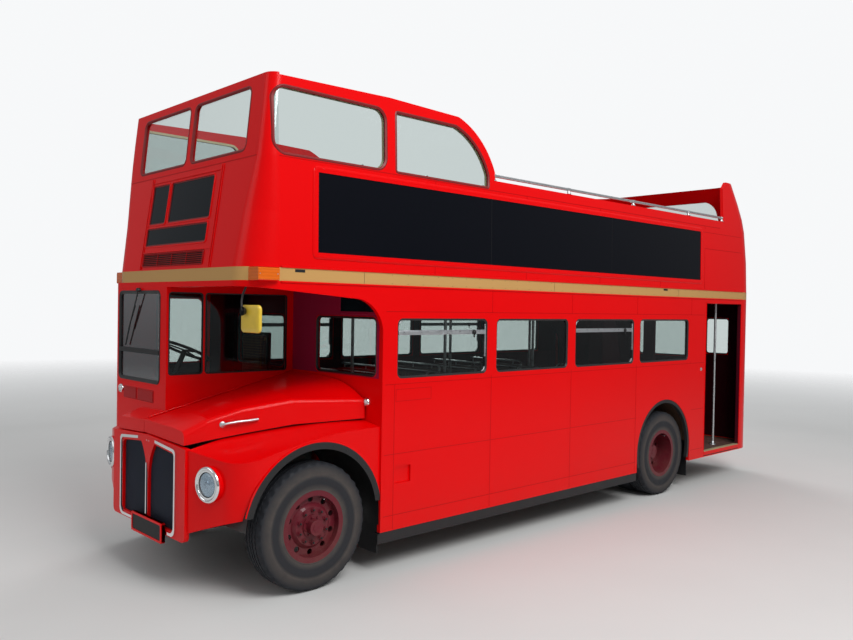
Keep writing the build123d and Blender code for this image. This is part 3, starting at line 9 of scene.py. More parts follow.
import bmesh
import bpy
from bpy.props import FloatProperty, FloatVectorProperty, IntProperty, PointerProperty
from mathutils import Matrix, Vector
from mathutils.bvhtree import BVHTree


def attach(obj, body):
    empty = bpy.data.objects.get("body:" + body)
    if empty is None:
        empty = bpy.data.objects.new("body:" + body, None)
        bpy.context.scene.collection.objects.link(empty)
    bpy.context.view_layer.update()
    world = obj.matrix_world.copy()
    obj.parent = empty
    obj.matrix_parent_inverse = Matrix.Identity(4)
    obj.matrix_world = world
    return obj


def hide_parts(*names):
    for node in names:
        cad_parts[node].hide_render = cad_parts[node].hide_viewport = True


bl_info = {
    "name": "Open Top Bus Looks",
    "version": (1, 0, 0),
    "blender": (4, 5, 0),
    "location": "3D View > Sidebar > Bus",
    "description": "Finishes and fine parts for an open top double decker bus",
    "category": "Object",
}

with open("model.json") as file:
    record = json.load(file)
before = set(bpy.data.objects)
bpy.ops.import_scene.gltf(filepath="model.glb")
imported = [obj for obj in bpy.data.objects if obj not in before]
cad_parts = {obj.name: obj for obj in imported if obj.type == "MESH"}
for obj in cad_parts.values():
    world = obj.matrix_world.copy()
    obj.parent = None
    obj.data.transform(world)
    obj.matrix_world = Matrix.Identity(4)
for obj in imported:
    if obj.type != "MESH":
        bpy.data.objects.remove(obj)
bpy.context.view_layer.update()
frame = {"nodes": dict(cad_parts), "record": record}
NODES = frame["nodes"]

# Main places of the body
BODY_HALF = 1.219
FRONT_AXLE_Y = -3.319
REAR_AXLE_Y = 1.812
AXLE_Z = 0.502
BULKHEAD_Y = -2.690
SKIRT_Z = 0.350
BAND_Z = 2.404
BAND_TOP_Z = 2.504
# The upper body's levels: z, half width, front y, front corner radius
UPPER_LEVELS = [
    (2.504, 1.2170, -3.949, 0.260),
    (2.917, 1.2115, -3.890, 0.210),
    (3.330, 1.2060, -3.831, 0.120),
    (3.500, 1.2000, -3.814, 0.105),
    (3.700, 1.1920, -3.793, 0.095),
    (3.966, 1.1800, -3.765, 0.090),
]
WINDOWS_Y = [-2.530 + 1.244 * number for number in range(4)]
WINDOW_WIDE = 1.115
WINDOW_Z = (1.622, 2.130)
# Ways that a bolt head may look: to the platform side, or ahead
NEAR = (1, 0, 0)
AHEAD = (0, -1, 0)


def shade(red, green, blue):
    """A colour picked as 0 to 255 steps, in the linear steps that a shader wants."""
    steps = []
    for step in (red, green, blue):
        part = step / 255
        steps.append(part / 12.92 if part <= 0.04045 else ((part + 0.055) / 1.055) ** 2.4)
    return tuple(steps)


def colour_prop(name, description, steps):
    """A colour that a user may change in the panel."""
    return FloatVectorProperty(name=name, description=description, subtype="COLOR", size=3,
                               min=0, max=1, default=shade(*steps))


def length_prop(name, description, default):
    """A length that a user may change in the panel."""
    return FloatProperty(name=name, description=description, default=default, unit="LENGTH")


class BusColours(bpy.types.PropertyGroup):
    """Colours of the bus."""

    body: colour_prop("Body", "Gloss paint of both decks", (228, 0, 3))
    band: colour_prop("Band", "Painted band between the decks", (196, 152, 92))
    inside: colour_prop("Inside", "Paint of the inner walls", (74, 12, 26))
    wheel: colour_prop("Wheels", "Paint of the wheels", (98, 14, 34))
    cream: colour_prop("Cream", "Frames round the inner windows", (214, 202, 160))
    cloth: colour_prop("Cloth", "Ground colour of the seats", (72, 20, 26))
    check: colour_prop("Check", "Lines woven in the seats", (160, 118, 60))
    amber: colour_prop("Amber", "Marker lamps", (228, 104, 8))
    floor: colour_prop("Floor", "Slatted platform and gangway", (92, 68, 48))
    mirror: colour_prop("Mirror", "Back of the mirror", (232, 196, 60))
    stage: colour_prop("Stage", "Studio floor", (214, 214, 212))


class BusSizes(bpy.types.PropertyGroup):
    """Sizes of the fine parts."""

    seal: length_prop("Seal", "Width of a window seal", 0.018)
    groove: length_prop("Groove", "Depth of the grooves in a tyre", 0.009)
    slat: length_prop("Slat", "Pitch of the wooden slats on the floors", 0.042)
    nuts: IntProperty(name="Nuts", description="Nuts round each wheel", default=10, min=5, max=12)


# Shader sums
class Value:
    """A shader socket that takes part in sums."""

    def __init__(self, finish, socket):
        self.finish = finish
        self.socket = socket

    def __add__(self, other):
        return self.finish.sum("ADD", self, other)

    def __sub__(self, other):
        return self.finish.sum("SUBTRACT", self, other)

    def __rsub__(self, other):
        return self.finish.sum("SUBTRACT", other, self)

    def __mul__(self, other):
        return self.finish.sum("MULTIPLY", self, other)

    __radd__ = __add__
    __rmul__ = __mul__


class Finish:
    """A material made of nodes and named for what it is on, or the world's light."""

    def __init__(self, name, world=None):
        self.material = world or bpy.data.materials.new(name)
        self.material.use_nodes = True
        self.tree = self.material.node_tree
        self.shader = self.tree.nodes["Background" if world else "Principled BSDF"]

    def feed(self, socket, given):
        """Links a socket to a value, or sets its number or colour."""
        if isinstance(given, Value):
            self.tree.links.new(given.socket, socket)
        elif hasattr(given, "__len__") and len(given) == 3 and socket.type == "RGBA":
            socket.default_value = (*given, 1)
        else:
            socket.default_value = given

    def node(self, kind, settings=None, sockets=None, out=0):
        """Any node: its settings first, then its sockets, by name or number."""
        made = self.tree.nodes.new(kind)
        for key, setting in (settings or {}).items():
            if key == "stops":
                ramp = made.color_ramp.elements
                for number, (place, colour) in enumerate(setting):
                    stop = ramp[number] if number < 2 else ramp.new(place)
                    stop.position = place
                    stop.color = (*colour, 1)
            else:
                setattr(made, key, setting)
        for key, given in (sockets or {}).items():
            self.feed(made.inputs[key], given)
        return Value(self, made.outputs[out])

    def set(self, **sockets):
        """Feeds the surface shader, with words joined by underlines as the socket's name."""
        for key, given in sockets.items():
            self.feed(self.shader.inputs[key.replace("_", " ")], given)

    def place(self):
        """Where a point is on the piece, in metres."""
        return self.node("ShaderNodeTexCoord", out=3)

    def axes(self, place=None):
        """The three coordinates of a point."""
        parts = self.node("ShaderNodeSeparateXYZ", None, {0: place or self.place()})
        outputs = parts.socket.node.outputs
        return [Value(self, outputs[number]) for number in range(3)]

    def sum(self, operation, *values):
        """A Math node on one value or two."""
        return self.node("ShaderNodeMath", {"operation": operation}, dict(enumerate(values)))

    def noise(self, scale, detail, roughness=0.55, stretch=None):
        """Cloudy values about a half, denser along some axes if a stretch is given."""
        place = self.place()
        if stretch:
            place = self.node("ShaderNodeMapping", None, {0: place, "Scale": stretch})
        return self.node("ShaderNodeTexNoise", None, {
            "Vector": place, "Scale": scale, "Detail": detail, "Roughness": roughness})

    def between(self, value, low, high, start=0.0, end=1.0):
        """A value's run from low to high, spread from start to end."""
        return self.node("ShaderNodeMapRange", {"clamp": True}, {
            "Value": value, "From Min": low, "From Max": high, "To Min": start, "To Max": end})

    def blend(self, share, first, second):
        """A mix of two colours."""
        made = self.node("ShaderNodeMix", {"data_type": "RGBA"}, None, 2)
        node = made.socket.node
        self.feed(node.inputs[0], share)
        self.feed(node.inputs[6], first)
        self.feed(node.inputs[7], second)
        return made

    def bump(self, height, strength, distance):
        """A bump from a height, in metres at its full step."""
        return self.node("ShaderNodeBump", None,
                         {"Strength": strength, "Distance": distance, "Height": height})


def darker(colour, share):
    """A colour with less light."""
    return tuple(part * share for part in colour)


def paint(name, colour, roughness=0.3, coat=0.1, dust=0.12, peel=0.012, dust_top=0.95):
    """Gloss paint: cloudy sheen, fine orange peel, and road dust that fades upwards."""
    made = Finish(name)
    z = made.axes()[2]
    cloud = made.noise(0.8, 2)
    grime = made.noise(9.0, 6, 0.68)
    low = made.between(z, 0.25, dust_top, 1.0, 0.0)
    dusty = low * low * made.between(grime, 0.2, 0.9) * dust
    base = made.blend(made.between(cloud, 0.05, 0.95), darker(colour, 0.95), colour)
    made.set(Base_Color=made.blend(dusty, base, shade(118, 96, 82)),
             Roughness=made.between(cloud, 0.05, 0.95, roughness * 0.85, roughness * 1.2)
             + dusty * 0.5,
             Coat_Weight=coat, Coat_Roughness=0.05, Specular_IOR_Level=0.1,
             Normal=made.bump(made.noise(110, 2), peel, 0.0006))
    return made.material


def plain(name, colour, roughness=0.5, grain=400, depth=0.15, metal=0.0, coat=0.0):
    """A moulded, cast or satin painted surface with a fine grain and faint patches."""
    made = Finish(name)
    patch = made.noise(6.0, 4)
    made.set(Base_Color=made.blend(made.between(patch, 0.3, 0.72), darker(colour, 0.8), colour),
             Roughness=made.between(patch, 0.3, 0.7, roughness * 0.85, min(1, roughness * 1.15)),
             Metallic=metal, Coat_Weight=coat, Coat_Roughness=0.08,
             Normal=made.bump(made.noise(grain, 2), depth, 0.0008))
    return made.material


def bright(name, colour, roughness):
    """Plated or polished metal with faint rubbing marks."""
    made = Finish(name)
    rub = made.noise(38, 5, 0.65)
    made.set(Base_Color=colour, Metallic=1.0,
             Roughness=made.between(rub, 0.35, 0.75, roughness, roughness * 2.4),
             Normal=made.bump(made.noise(90, 2), 0.012, 0.0004))
    return made.material


def pane(name, share, tint=(0.80, 0.84, 0.83)):
    """Thin glass: it shows what is behind, and more of what is before it at a slant."""
    made = Finish(name)
    smear = made.noise(2.2, 4)
    made.set(Base_Color=(0.8, 0.84, 0.86), Metallic=1.0,
             Roughness=made.between(smear, 0.35, 0.75, 0.02, 0.06))
    clear = made.node("ShaderNodeBsdfTransparent", None, {"Color": tint})
    facing = made.node("ShaderNodeLayerWeight", None, {"Blend": 0.5}, 1)
    square = facing * facing
    amount = made.between(square * square * facing * 0.9 + share, 0.0, 1.0)
    mixed = made.node("ShaderNodeMixShader", None, {0: amount, 1: clear})
    made.tree.links.new(made.shader.outputs[0], mixed.socket.node.inputs[2])
    output = made.tree.nodes["Material Output"]
    made.tree.links.new(mixed.socket, output.inputs["Surface"])
    return made.material


# Shapes: each is a list of points and a list of faces
def slab(x0, x1, y0, y1, z0, z1):
    """A box between two corners."""
    points = [(x, y, z) for x in (x0, x1) for y in (y0, y1) for z in (z0, z1)]
    faces = [(0, 1, 3, 2), (4, 6, 7, 5), (0, 4, 5, 1), (2, 3, 7, 6), (0, 2, 6, 4), (1, 5, 7, 3)]
    return points, faces


def lofted(rings, closed=True, capped=False):
    """Faces between rings of points that have the same count."""
    points = [point for ring in rings for point in ring]
    count = len(rings[0])
    faces = []
    for row in range(len(rings) - 1):
        for column in range(count if closed else count - 1):
            after = (column + 1) % count
            faces.append((row * count + column, row * count + after,
                          (row + 1) * count + after, (row + 1) * count + column))
    if capped:
        faces.append(tuple(reversed(range(count))))
        last = (len(rings) - 1) * count
        faces.append(tuple(range(last, last + count)))
    return points, faces


def lathe(profile, centre, steps, axis="x", shift=None):
    """A profile of (along, radius) turned about an axis; shift moves a point by its turn."""
    rings = []
    for step in range(steps):
        turn = 2 * pi * step / steps
        ring = []
        for number, (along, radius) in enumerate(profile):
            move = shift(number, step) if shift else 0
            across, up = radius * cos(turn), radius * sin(turn)
            order = {"x": (along + move, across, up), "y": (up, along + move, across),
                     "z": (across, up, along + move)}[axis]
            ring.append(tuple(c + o for c, o in zip(centre, order)))
        rings.append(ring)
    rings.append(rings[0])
    points, faces = lofted(rings, closed=False)
    count = len(profile)
    total = count * steps
    faces = [tuple(index % total for index in face) for face in faces]
    return points[:total], faces


def arc(centre, radius, start, sweep, steps):
    """Points on a round arc, its start and sweep in degrees."""
    turns = [radians(start + sweep * step / steps) for step in range(steps + 1)]
    return [(centre[0] + radius * cos(turn), centre[1] + radius * sin(turn)) for turn in turns]


def round_loop(box, radius, steps=6, inset=0.0):
    """A rounded rectangle's corners and arcs, once round, drawn in by an inset."""
    a0, a1, b0, b1 = box[0] + inset, box[1] - inset, box[2] + inset, box[3] - inset
    radius = min(radius, (a1 - a0) / 2, (b1 - b0) / 2)
    loop = []
    for a, b, start in ((a1 - radius, b0 + radius, -90), (a1 - radius, b1 - radius, 0),
                        (a0 + radius, b1 - radius, 90), (a0 + radius, b0 + radius, 180)):
        loop += arc((a, b), radius, start, 90, steps)
    return loop


def stepped(box, radius, levels, place, steps=6, tighter=0.0):
    """Rings of a rounded box: each level is how far it is drawn in, and its height."""
    return [[place(a, b, height)
             for a, b in round_loop(box, radius - inset * tighter, steps, inset)]
            for inset, height in levels]


def bead(loop, section, place, closed=True):
    """A strip along a loop: its section is (away from the loop, out of the surface)."""
    count = len(loop)
    rings = []
    for number, (a, b) in enumerate(loop):
        before = loop[(number - 1) % count] if closed or number else loop[number]
        after = loop[(number + 1) % count] if closed or number + 1 < count else loop[number]
        along = Vector((after[0] - before[0], after[1] - before[1])).normalized()
        rings.append([place(a + along.y * off, b - along.x * off, out) for off, out in section])
    if closed:
        rings.append(rings[0])
    return lofted(rings, capped=not closed)


def tube(path, radius, steps, closed=False):
    """A round rod along a path of points."""
    rings = []
    count = len(path)
    spots = [Vector(point) for point in path]
    side = None
    for number, spot in enumerate(spots):
        before = spots[number - 1] if number or closed else spot
        after = spots[(number + 1) % count] if number + 1 < count or closed else spot
        along = (after - before).normalized()
        if side is None:
            other = Vector((0, 0, 1)) if abs(along.z) < 0.9 else Vector((1, 0, 0))
            side = along.cross(other).normalized()
        side = (side - along * side.dot(along)).normalized()
        up = along.cross(side)
        ring = []
        for step in range(steps):
            turn = 2 * pi * step / steps
            ring.append(tuple(spot + side * radius * cos(turn) + up * radius * sin(turn)))
        rings.append(ring)
    if closed:
        rings.append(rings[0])
    return lofted(rings, capped=not closed)


def stud(spot, way, radius, height, sides, crown=0.0):
    """A bolt head, nut or domed rivet that stands on a surface."""
    way = Vector(way).normalized()
    other = Vector((0, 0, 1)) if abs(way.z) < 0.9 else Vector((1, 0, 0))
    side = way.cross(other).normalized()
    up = way.cross(side)
    spot = Vector(spot)
    rings = []
    levels = [(1.0, 0.0), (1.0, height * (1 - crown)), (0.62, height)]
    if not crown:
        levels = [(1.0, 0.0), (1.0, height * 0.86), (0.86, height)]
    for share, rise in levels:
        rings.append([tuple(spot + way * rise
                            + side * radius * share * cos(2 * pi * step / sides)
                            + up * radius * share * sin(2 * pi * step / sides))
                      for step in range(sides)])
    return lofted(rings, capped=True)


def plate(loop, place, low, high):
    """A flat piece with a loop's outline, between two heights over a surface."""
    return lofted([[place(a, b, low) for a, b in loop], [place(a, b, high) for a, b in loop]],
                  capped=True)


def sheet(line, x0, x1):
    """A thin sheet along a line of places, from one side to the other."""
    return lofted([[(x, y, z) for y, z in line] for x in (x0, x1)], closed=False)


def turned(part, spot, matrix):
    """A part's points turned by a matrix about a spot."""
    points, faces = part
    spot = Vector(spot)
    return [tuple(matrix @ (Vector(point) - spot) + spot) for point in points], faces


def paired(loop):
    """Each point of a loop with the next one."""
    return zip(loop, loop[1:] + loop[:1])


def dense(loop, pitch):
    """A loop with points added on its long stretches."""
    spots = []
    for (a, b), (c, d) in paired(loop):
        count = max(1, round(dist((a, b), (c, d)) / pitch))
        spots += [(a + (c - a) * step / count, b + (d - b) * step / count)
                  for step in range(count)]
    return spots


def mirrored(part):
    """A part on the other side of the bus."""
    points, faces = part
    return [(-a, b, c) for a, b, c in points], [tuple(reversed(face)) for face in faces]


def put(name, mesh, body, matrix=None):
    """An object in the scene, in its place, that rides on a body."""
    made = bpy.data.objects.new(name, mesh)
    bpy.context.scene.collection.objects.link(made)
    if matrix is not None:
        made.matrix_world = matrix
    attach(made, body)
    return made


def piece(name, parts, finish, body="bus", replaces=(), smooth=40, bevel=0.0):
    """One object of several parts, on a body, with rounded edges if bevel is given."""
    mesh = bpy.data.meshes.new(name)
    points, faces = [], []
    for part_points, part_faces in parts:
        start = len(points)
        points += part_points
        faces += [tuple(index + start for index in face) for face in part_faces]
    mesh.from_pydata(points, [], faces)
    form = bmesh.new()
    form.from_mesh(mesh)
    bmesh.ops.recalc_face_normals(form, faces=form.faces)
    form.to_mesh(mesh)
    form.free()
    mesh.materials.append(FINISH[finish])
    if smooth:
        mesh.polygons.foreach_set("use_smooth", [True] * len(mesh.polygons))
        mesh.set_sharp_from_angle(angle=radians(smooth))
    made = put(name, mesh, body)
    if bevel:
        rounding = made.modifiers.new("Edges", "BEVEL")
        rounding.width = bevel
        rounding.segments = 2
        rounding.limit_method = "ANGLE"
        rounding.angle_limit = radians(BEVEL_FROM)
    if replaces:
        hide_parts(*replaces)


# Surfaces of the body: each takes two places along it and a height over it
def level_value(z, column):
    """The upper body's width, front or corner at a height."""
    if z <= UPPER_LEVELS[0][0]:
        return UPPER_LEVELS[0][column]
    for low, high in zip(UPPER_LEVELS, UPPER_LEVELS[1:]):
        if z <= high[0]:
            share = (z - low[0]) / (high[0] - low[0])
            return low[column] + share * (high[column] - low[column])
    return UPPER_LEVELS[-1][column]


def on_flank(x_face):
    """An upright face that looks to the platform side."""
    return lambda y, z, out: (x_face + out, y, z)


def on_upper_side(side):
    """The side of the upper deck, which leans in, and the round corner before it."""
    def place(y, z, out):
        """A point on the side, or on the corner where it is far enough to the front."""
        half, front, radius = (level_value(z, column) for column in (1, 2, 3))
        past = (front + radius - y) / radius
        if past <= 0:
            return (side * (half + out), y, z)
        turn = asin(min(past, 0.999))
        return (side * (half - radius + (radius + out) * cos(turn)),
                front + radius - (radius + out) * sin(turn), z)

    return place


def on_upper_front(x, z, out):
    """The front of the upper deck, which leans back."""
    return (x, level_value(z, 2) - out, z)


def on_rear(y_face):
    """An upright face that looks to the rear."""
    return lambda x, z, out: (x, y_face + out, z)


def on_front(y_face):
    """An upright face that looks forward."""
    return lambda x, z, out: (x, y_face - out, z)


# Finishes
def tyre_rubber(name, axle_y=FRONT_AXLE_Y):
    """Black rubber: brown rings at set radii on the walls, dark bands between, a darker tread."""
    made = Finish(name)
    y, z = made.axes()[1:]
    along, up = y - axle_y, z - AXLE_Z
    far = made.sum("SQRT", along * along + up * up)
    rings = ((0.0, 0.75), (0.20, 0.70), (0.34, 0.10), (0.52, 0.12), (0.62, 0.75), (0.80, 0.40),
             (0.93, 0.05))
    ring = made.node("ShaderNodeValToRGB", {"stops": [(place, (dust,) * 3) for place, dust in rings]},
                     {0: made.between(far, 0.25, 0.50)})
    grime = made.noise(14, 5, 0.65)
    dust = made.between(grime, 0.25, 0.75, 0.45, 1.0) * ring
    made.set(Base_Color=made.blend(dust, shade(31, 34, 40), shade(92, 84, 78)),
             Roughness=made.between(grime, 0.3, 0.8, 0.6, 0.88), Specular_IOR_Level=0.3,
             Normal=made.bump(made.noise(520, 2), 0.25, 0.0008))
    return made.material


def woven(name, ground, line):
    """Seat cloth: a low woven pile with a small woven check."""
    made = Finish(name)
    across, along = (
        made.node("ShaderNodeTexWave", {"wave_type": "BANDS", "bands_direction": way},
                  {"Scale": 5.2, "Distortion": 0.4, "Detail": 0.0}, 1) for way in "XY")
    lines = made.sum("MAXIMUM", made.between(across, 0.93, 0.985),
                     made.between(along, 0.93, 0.985))
    pile = made.noise(900, 2, 0.7)
    base = made.blend(lines * 0.6, ground, line)
    worn = made.between(made.noise(4.5, 4), 0.45, 0.8) * 0.25
    made.set(Base_Color=made.blend(worn, base, darker(line, 0.6)), Roughness=0.92,
             Sheen_Weight=0.35, Sheen_Roughness=0.45, Specular_IOR_Level=0.2,
             Normal=made.bump(pile, 0.5, 0.0012))
    return made.material


def slatted(name, colour, pitch):
    """A floor of hardwood slats that run along the bus, with dust between them."""
    made = Finish(name)
    saw = made.sum("FRACT", made.axes()[0] * (1 / pitch))
    gap = made.sum("MAXIMUM", made.between(saw, 0.0, 0.10, 1.0, 0.0),
                   made.between(saw, 0.86, 0.96))
    grain = made.noise(9, 6, 0.6, (14, 1.2, 14))
    wood = made.blend(made.between(grain, 0.3, 0.7), darker(colour, 0.62), colour)
    made.set(Base_Color=made.blend(gap, wood, darker(colour, 0.2)),
             Roughness=made.between(grain, 0.3, 0.7, 0.5, 0.75),
             Normal=made.bump((1.0 - gap) + grain * 0.15, 0.8, 0.004))
    return made.material


def slat_wood(name, colour):
    """Hardwood strips with grain along the bus, scuffed pale on top."""
    made = Finish(name)
    grain = made.noise(3.0, 6, 0.6, (60, 3, 60))
    scuff = made.between(made.noise(7.0, 5, 0.7), 0.5, 0.8) * 0.45
    wood = made.blend(made.between(grain, 0.3, 0.7), darker(colour, 0.5), colour)
    made.set(Base_Color=made.blend(scuff, wood, shade(150, 134, 126)),
             Roughness=made.between(grain, 0.3, 0.7, 0.55, 0.8),
             Normal=made.bump(grain, 0.35, 0.001))
    return made.material


def wire_mesh(name, colour):
    """A dark fine mesh: woven wires over a dark core of painted shade, for the dark seen through the
    holes.
    """
    made = Finish(name)
    x, _, z = made.axes()
    sway, swing = (made.between(made.sum("SINE", slant * 700.0), 0.2, 0.8)
                   for slant in (x + z, x - z))
    wires = made.sum("MAXIMUM", sway, swing)
    # The dark between the wires is painted shade
    made.set(Base_Color=made.blend(wires, darker(colour, 0.15), colour), Metallic=0.4,
             Roughness=made.between(wires, 0, 1, 0.8, 0.4),
             Normal=made.bump(wires, 0.7, 0.002))
    return made.material


def lens(name, tint, glow=0.0):
    """A moulded lamp glass with fine flutes, painted darker in their troughs as painted shade."""
    made = Finish(name)
    x, _, z = made.axes()
    relief = made.sum("SINE", x * 520.0) * 0.6 + made.sum("SINE", z * 260.0) * 0.3
    # The flutes' troughs are painted darker: painted shade
    made.set(Base_Color=made.blend(made.between(relief, -0.9, 0.9), darker(tint, 0.7), tint),
             Roughness=0.06, Coat_Weight=0.6, Coat_Roughness=0.02, Specular_IOR_Level=0.3,
             Normal=made.bump(relief, 0.5, 0.0015))
    if glow:
        made.set(Emission_Color=tint, Emission_Strength=glow)
    return made.material


def finishes():
    """Every material slot of the record, and a few more for the fine parts."""
    colours = bpy.context.scene.bus_colours
    pitch = bpy.context.scene.bus_sizes.slat
    red, band, inside, wheel, cream, cloth, check, amber, floor, mirror = (
        tuple(getattr(colours, key)) for key in (
            "body", "band", "inside", "wheel", "cream", "cloth", "check", "amber", "floor",
            "mirror"))
    return {
        "body_red": paint("Body red gloss", red),
        "band_cream": paint("Band paint", band, 0.34, 0.3, 0.1),
        "inner_maroon": paint("Inner maroon", inside, 0.42, 0.15, 0.15),
        "wheel_maroon": paint("Wheel maroon", wheel, 0.34, 0.3, 0.4, 0.1, 1.4),
        "chassis_black": plain("Chassis black", shade(26, 25, 25), 0.62, 160, 0.3),
        "engine_grey": plain("Engine casting", shade(74, 80, 78), 0.6, 90, 0.5, 0.3),
        "floor_brown": slatted("Floor slats", floor, pitch),
        "deck_grey": plain("Deck sheet", shade(112, 112, 108), 0.75, 60, 0.4),
        "board_black": paint("Board black", shade(6, 8, 16), 0.3, 0.05, 0.10),
        "blind_black": paint("Blind glass", shade(6, 15, 22), 0.12, 0.05, 0.0, 0.0),
        "fitting_black": plain("Cab fittings", shade(24, 24, 25), 0.4, 300, 0.15),
        "seat_cloth": woven("Seat cloth", cloth, check),
        "seat_steel": plain("Seat shell", shade(70, 22, 24), 0.4, 260, 0.1, 0.0, 0.2),
        "rail_steel": bright("Rail metal", (0.62, 0.63, 0.64), 0.24),
        "bright_chrome": bright("Chrome plate", (0.82, 0.83, 0.84), 0.05),
        "mesh_dark": wire_mesh("Grille mesh", shade(46, 52, 66)),
        "lamp_glass": lens("Headlamp glass", shade(226, 230, 232)),
        "clear_glass": pane("Window glass", 0.045),
        "amber_plastic": lens("Amber lens", amber),
        "mirror_case": plain("Mirror case", mirror, 0.35, 220, 0.08, 0.0, 0.4),
        "trim_rubber": plain("Trim rubber", shade(24, 24, 26), 0.5, 240, 0.2),
        "tyre_black": tyre_rubber("Tyre rubber"),
        "front_tyre": tyre_rubber("Front tyre rubber"),
        "rear_tyre": tyre_rubber("Rear tyre rubber", REAR_AXLE_Y),
        # Painted shade: a darker red for the flaps, which look shaded
        "flap_shaded_red": paint("Vent flaps in painted shade", shade(168, 20, 24), 0.35),
        # Painted shade: the canopy's shadow on the red bulkhead, as a dark maroon paint
        "canopy_painted_shade": paint("Canopy painted shade", shade(150, 22, 60), 0.35),
        "cream": paint("Cream frames", cream, 0.4, 0.2, 0.1),
        "polished": bright("Polished aluminium", (0.62, 0.64, 0.66), 0.26),
        "red_lens": lens("Red lens", shade(190, 14, 14), 0.08),
        "mirror_glass": bright("Mirror glass", (0.9, 0.92, 0.93), 0.01),
        # Painted shade in vent openings, lamp gaps and behind the vent slats; also the dark of the
        # boards' real joints
        "joint_and_shade_dark": plain("Dark joints and painted shade", shade(10, 10, 11), 0.8, 200, 0.1),
        "sheen_glass": pane("Windscreen glass", 0.42),
        "screen_rubber": plain("Screen rubber", darker(red, 0.28), 0.5, 240),
        # Painted shade: the body red darkened for the shade among the vent's slats
        "vent_shaded_red": paint("Vent slats in painted shade", darker(red, 0.4), 0.4, 0.1, 0.1),
        "tread_cream": plain("Platform edge", shade(176, 160, 122), 0.65, 90, 0.4),
        "slat_wood": slat_wood("Platform slats", shade(104, 70, 62)),
        "reflector": bright("Lamp reflector", (0.40, 0.50, 0.60), 0.16),
        "lamp_clear": pane("Lamp dome", 0.10, (0.94, 0.96, 0.97)),
        "mesh_wire": plain("Grille wires", shade(58, 66, 84), 0.45, 300, 0.1, 0.6),
        "piping": plain("Seat piping", darker(cloth, 0.6), 0.55, 500, 0.2),
        "seam": paint("Panel seams", darker(red, 0.66), 0.5, 0.1, 0.1),
        "band_dark": plain("Band joints", darker(band, 0.35)),
        # Painted shade: the inner paint darkened for the shade inside the saloon, cab and platform
        "inner_painted_shade": paint("Inner painted shade", darker(inside, 0.35), 0.45, 0.1),
    }


# The materials by slot or finish, and the angle from which an edge is rounded
FINISH = {}
BEVEL_FROM = 35


class BUS_OT_finishes(bpy.types.Operator):
    """Gives every solid of the bus its finish"""

    bl_idname = "bus.finishes"
    bl_label = "Finishes"

    def execute(self, context):
        """Makes the materials and puts each on the solids of its slot."""
        FINISH.update(finishes())
        for part in frame["record"]["subparts"]:
            solid = NODES[part["node"]]
            solid.data.materials.clear()
            solid.data.materials.append(FINISH[part["material_slot"]])
        return {"FINISHED"}


# Stage
CAMERA_PLACE = (6.299, -7.002, 2.229)
CAMERA_TURN = 46.62
CAMERA_PITCH = -0.922
CAMERA_ROLL = 0.974
CAMERA_LENS = 34.04


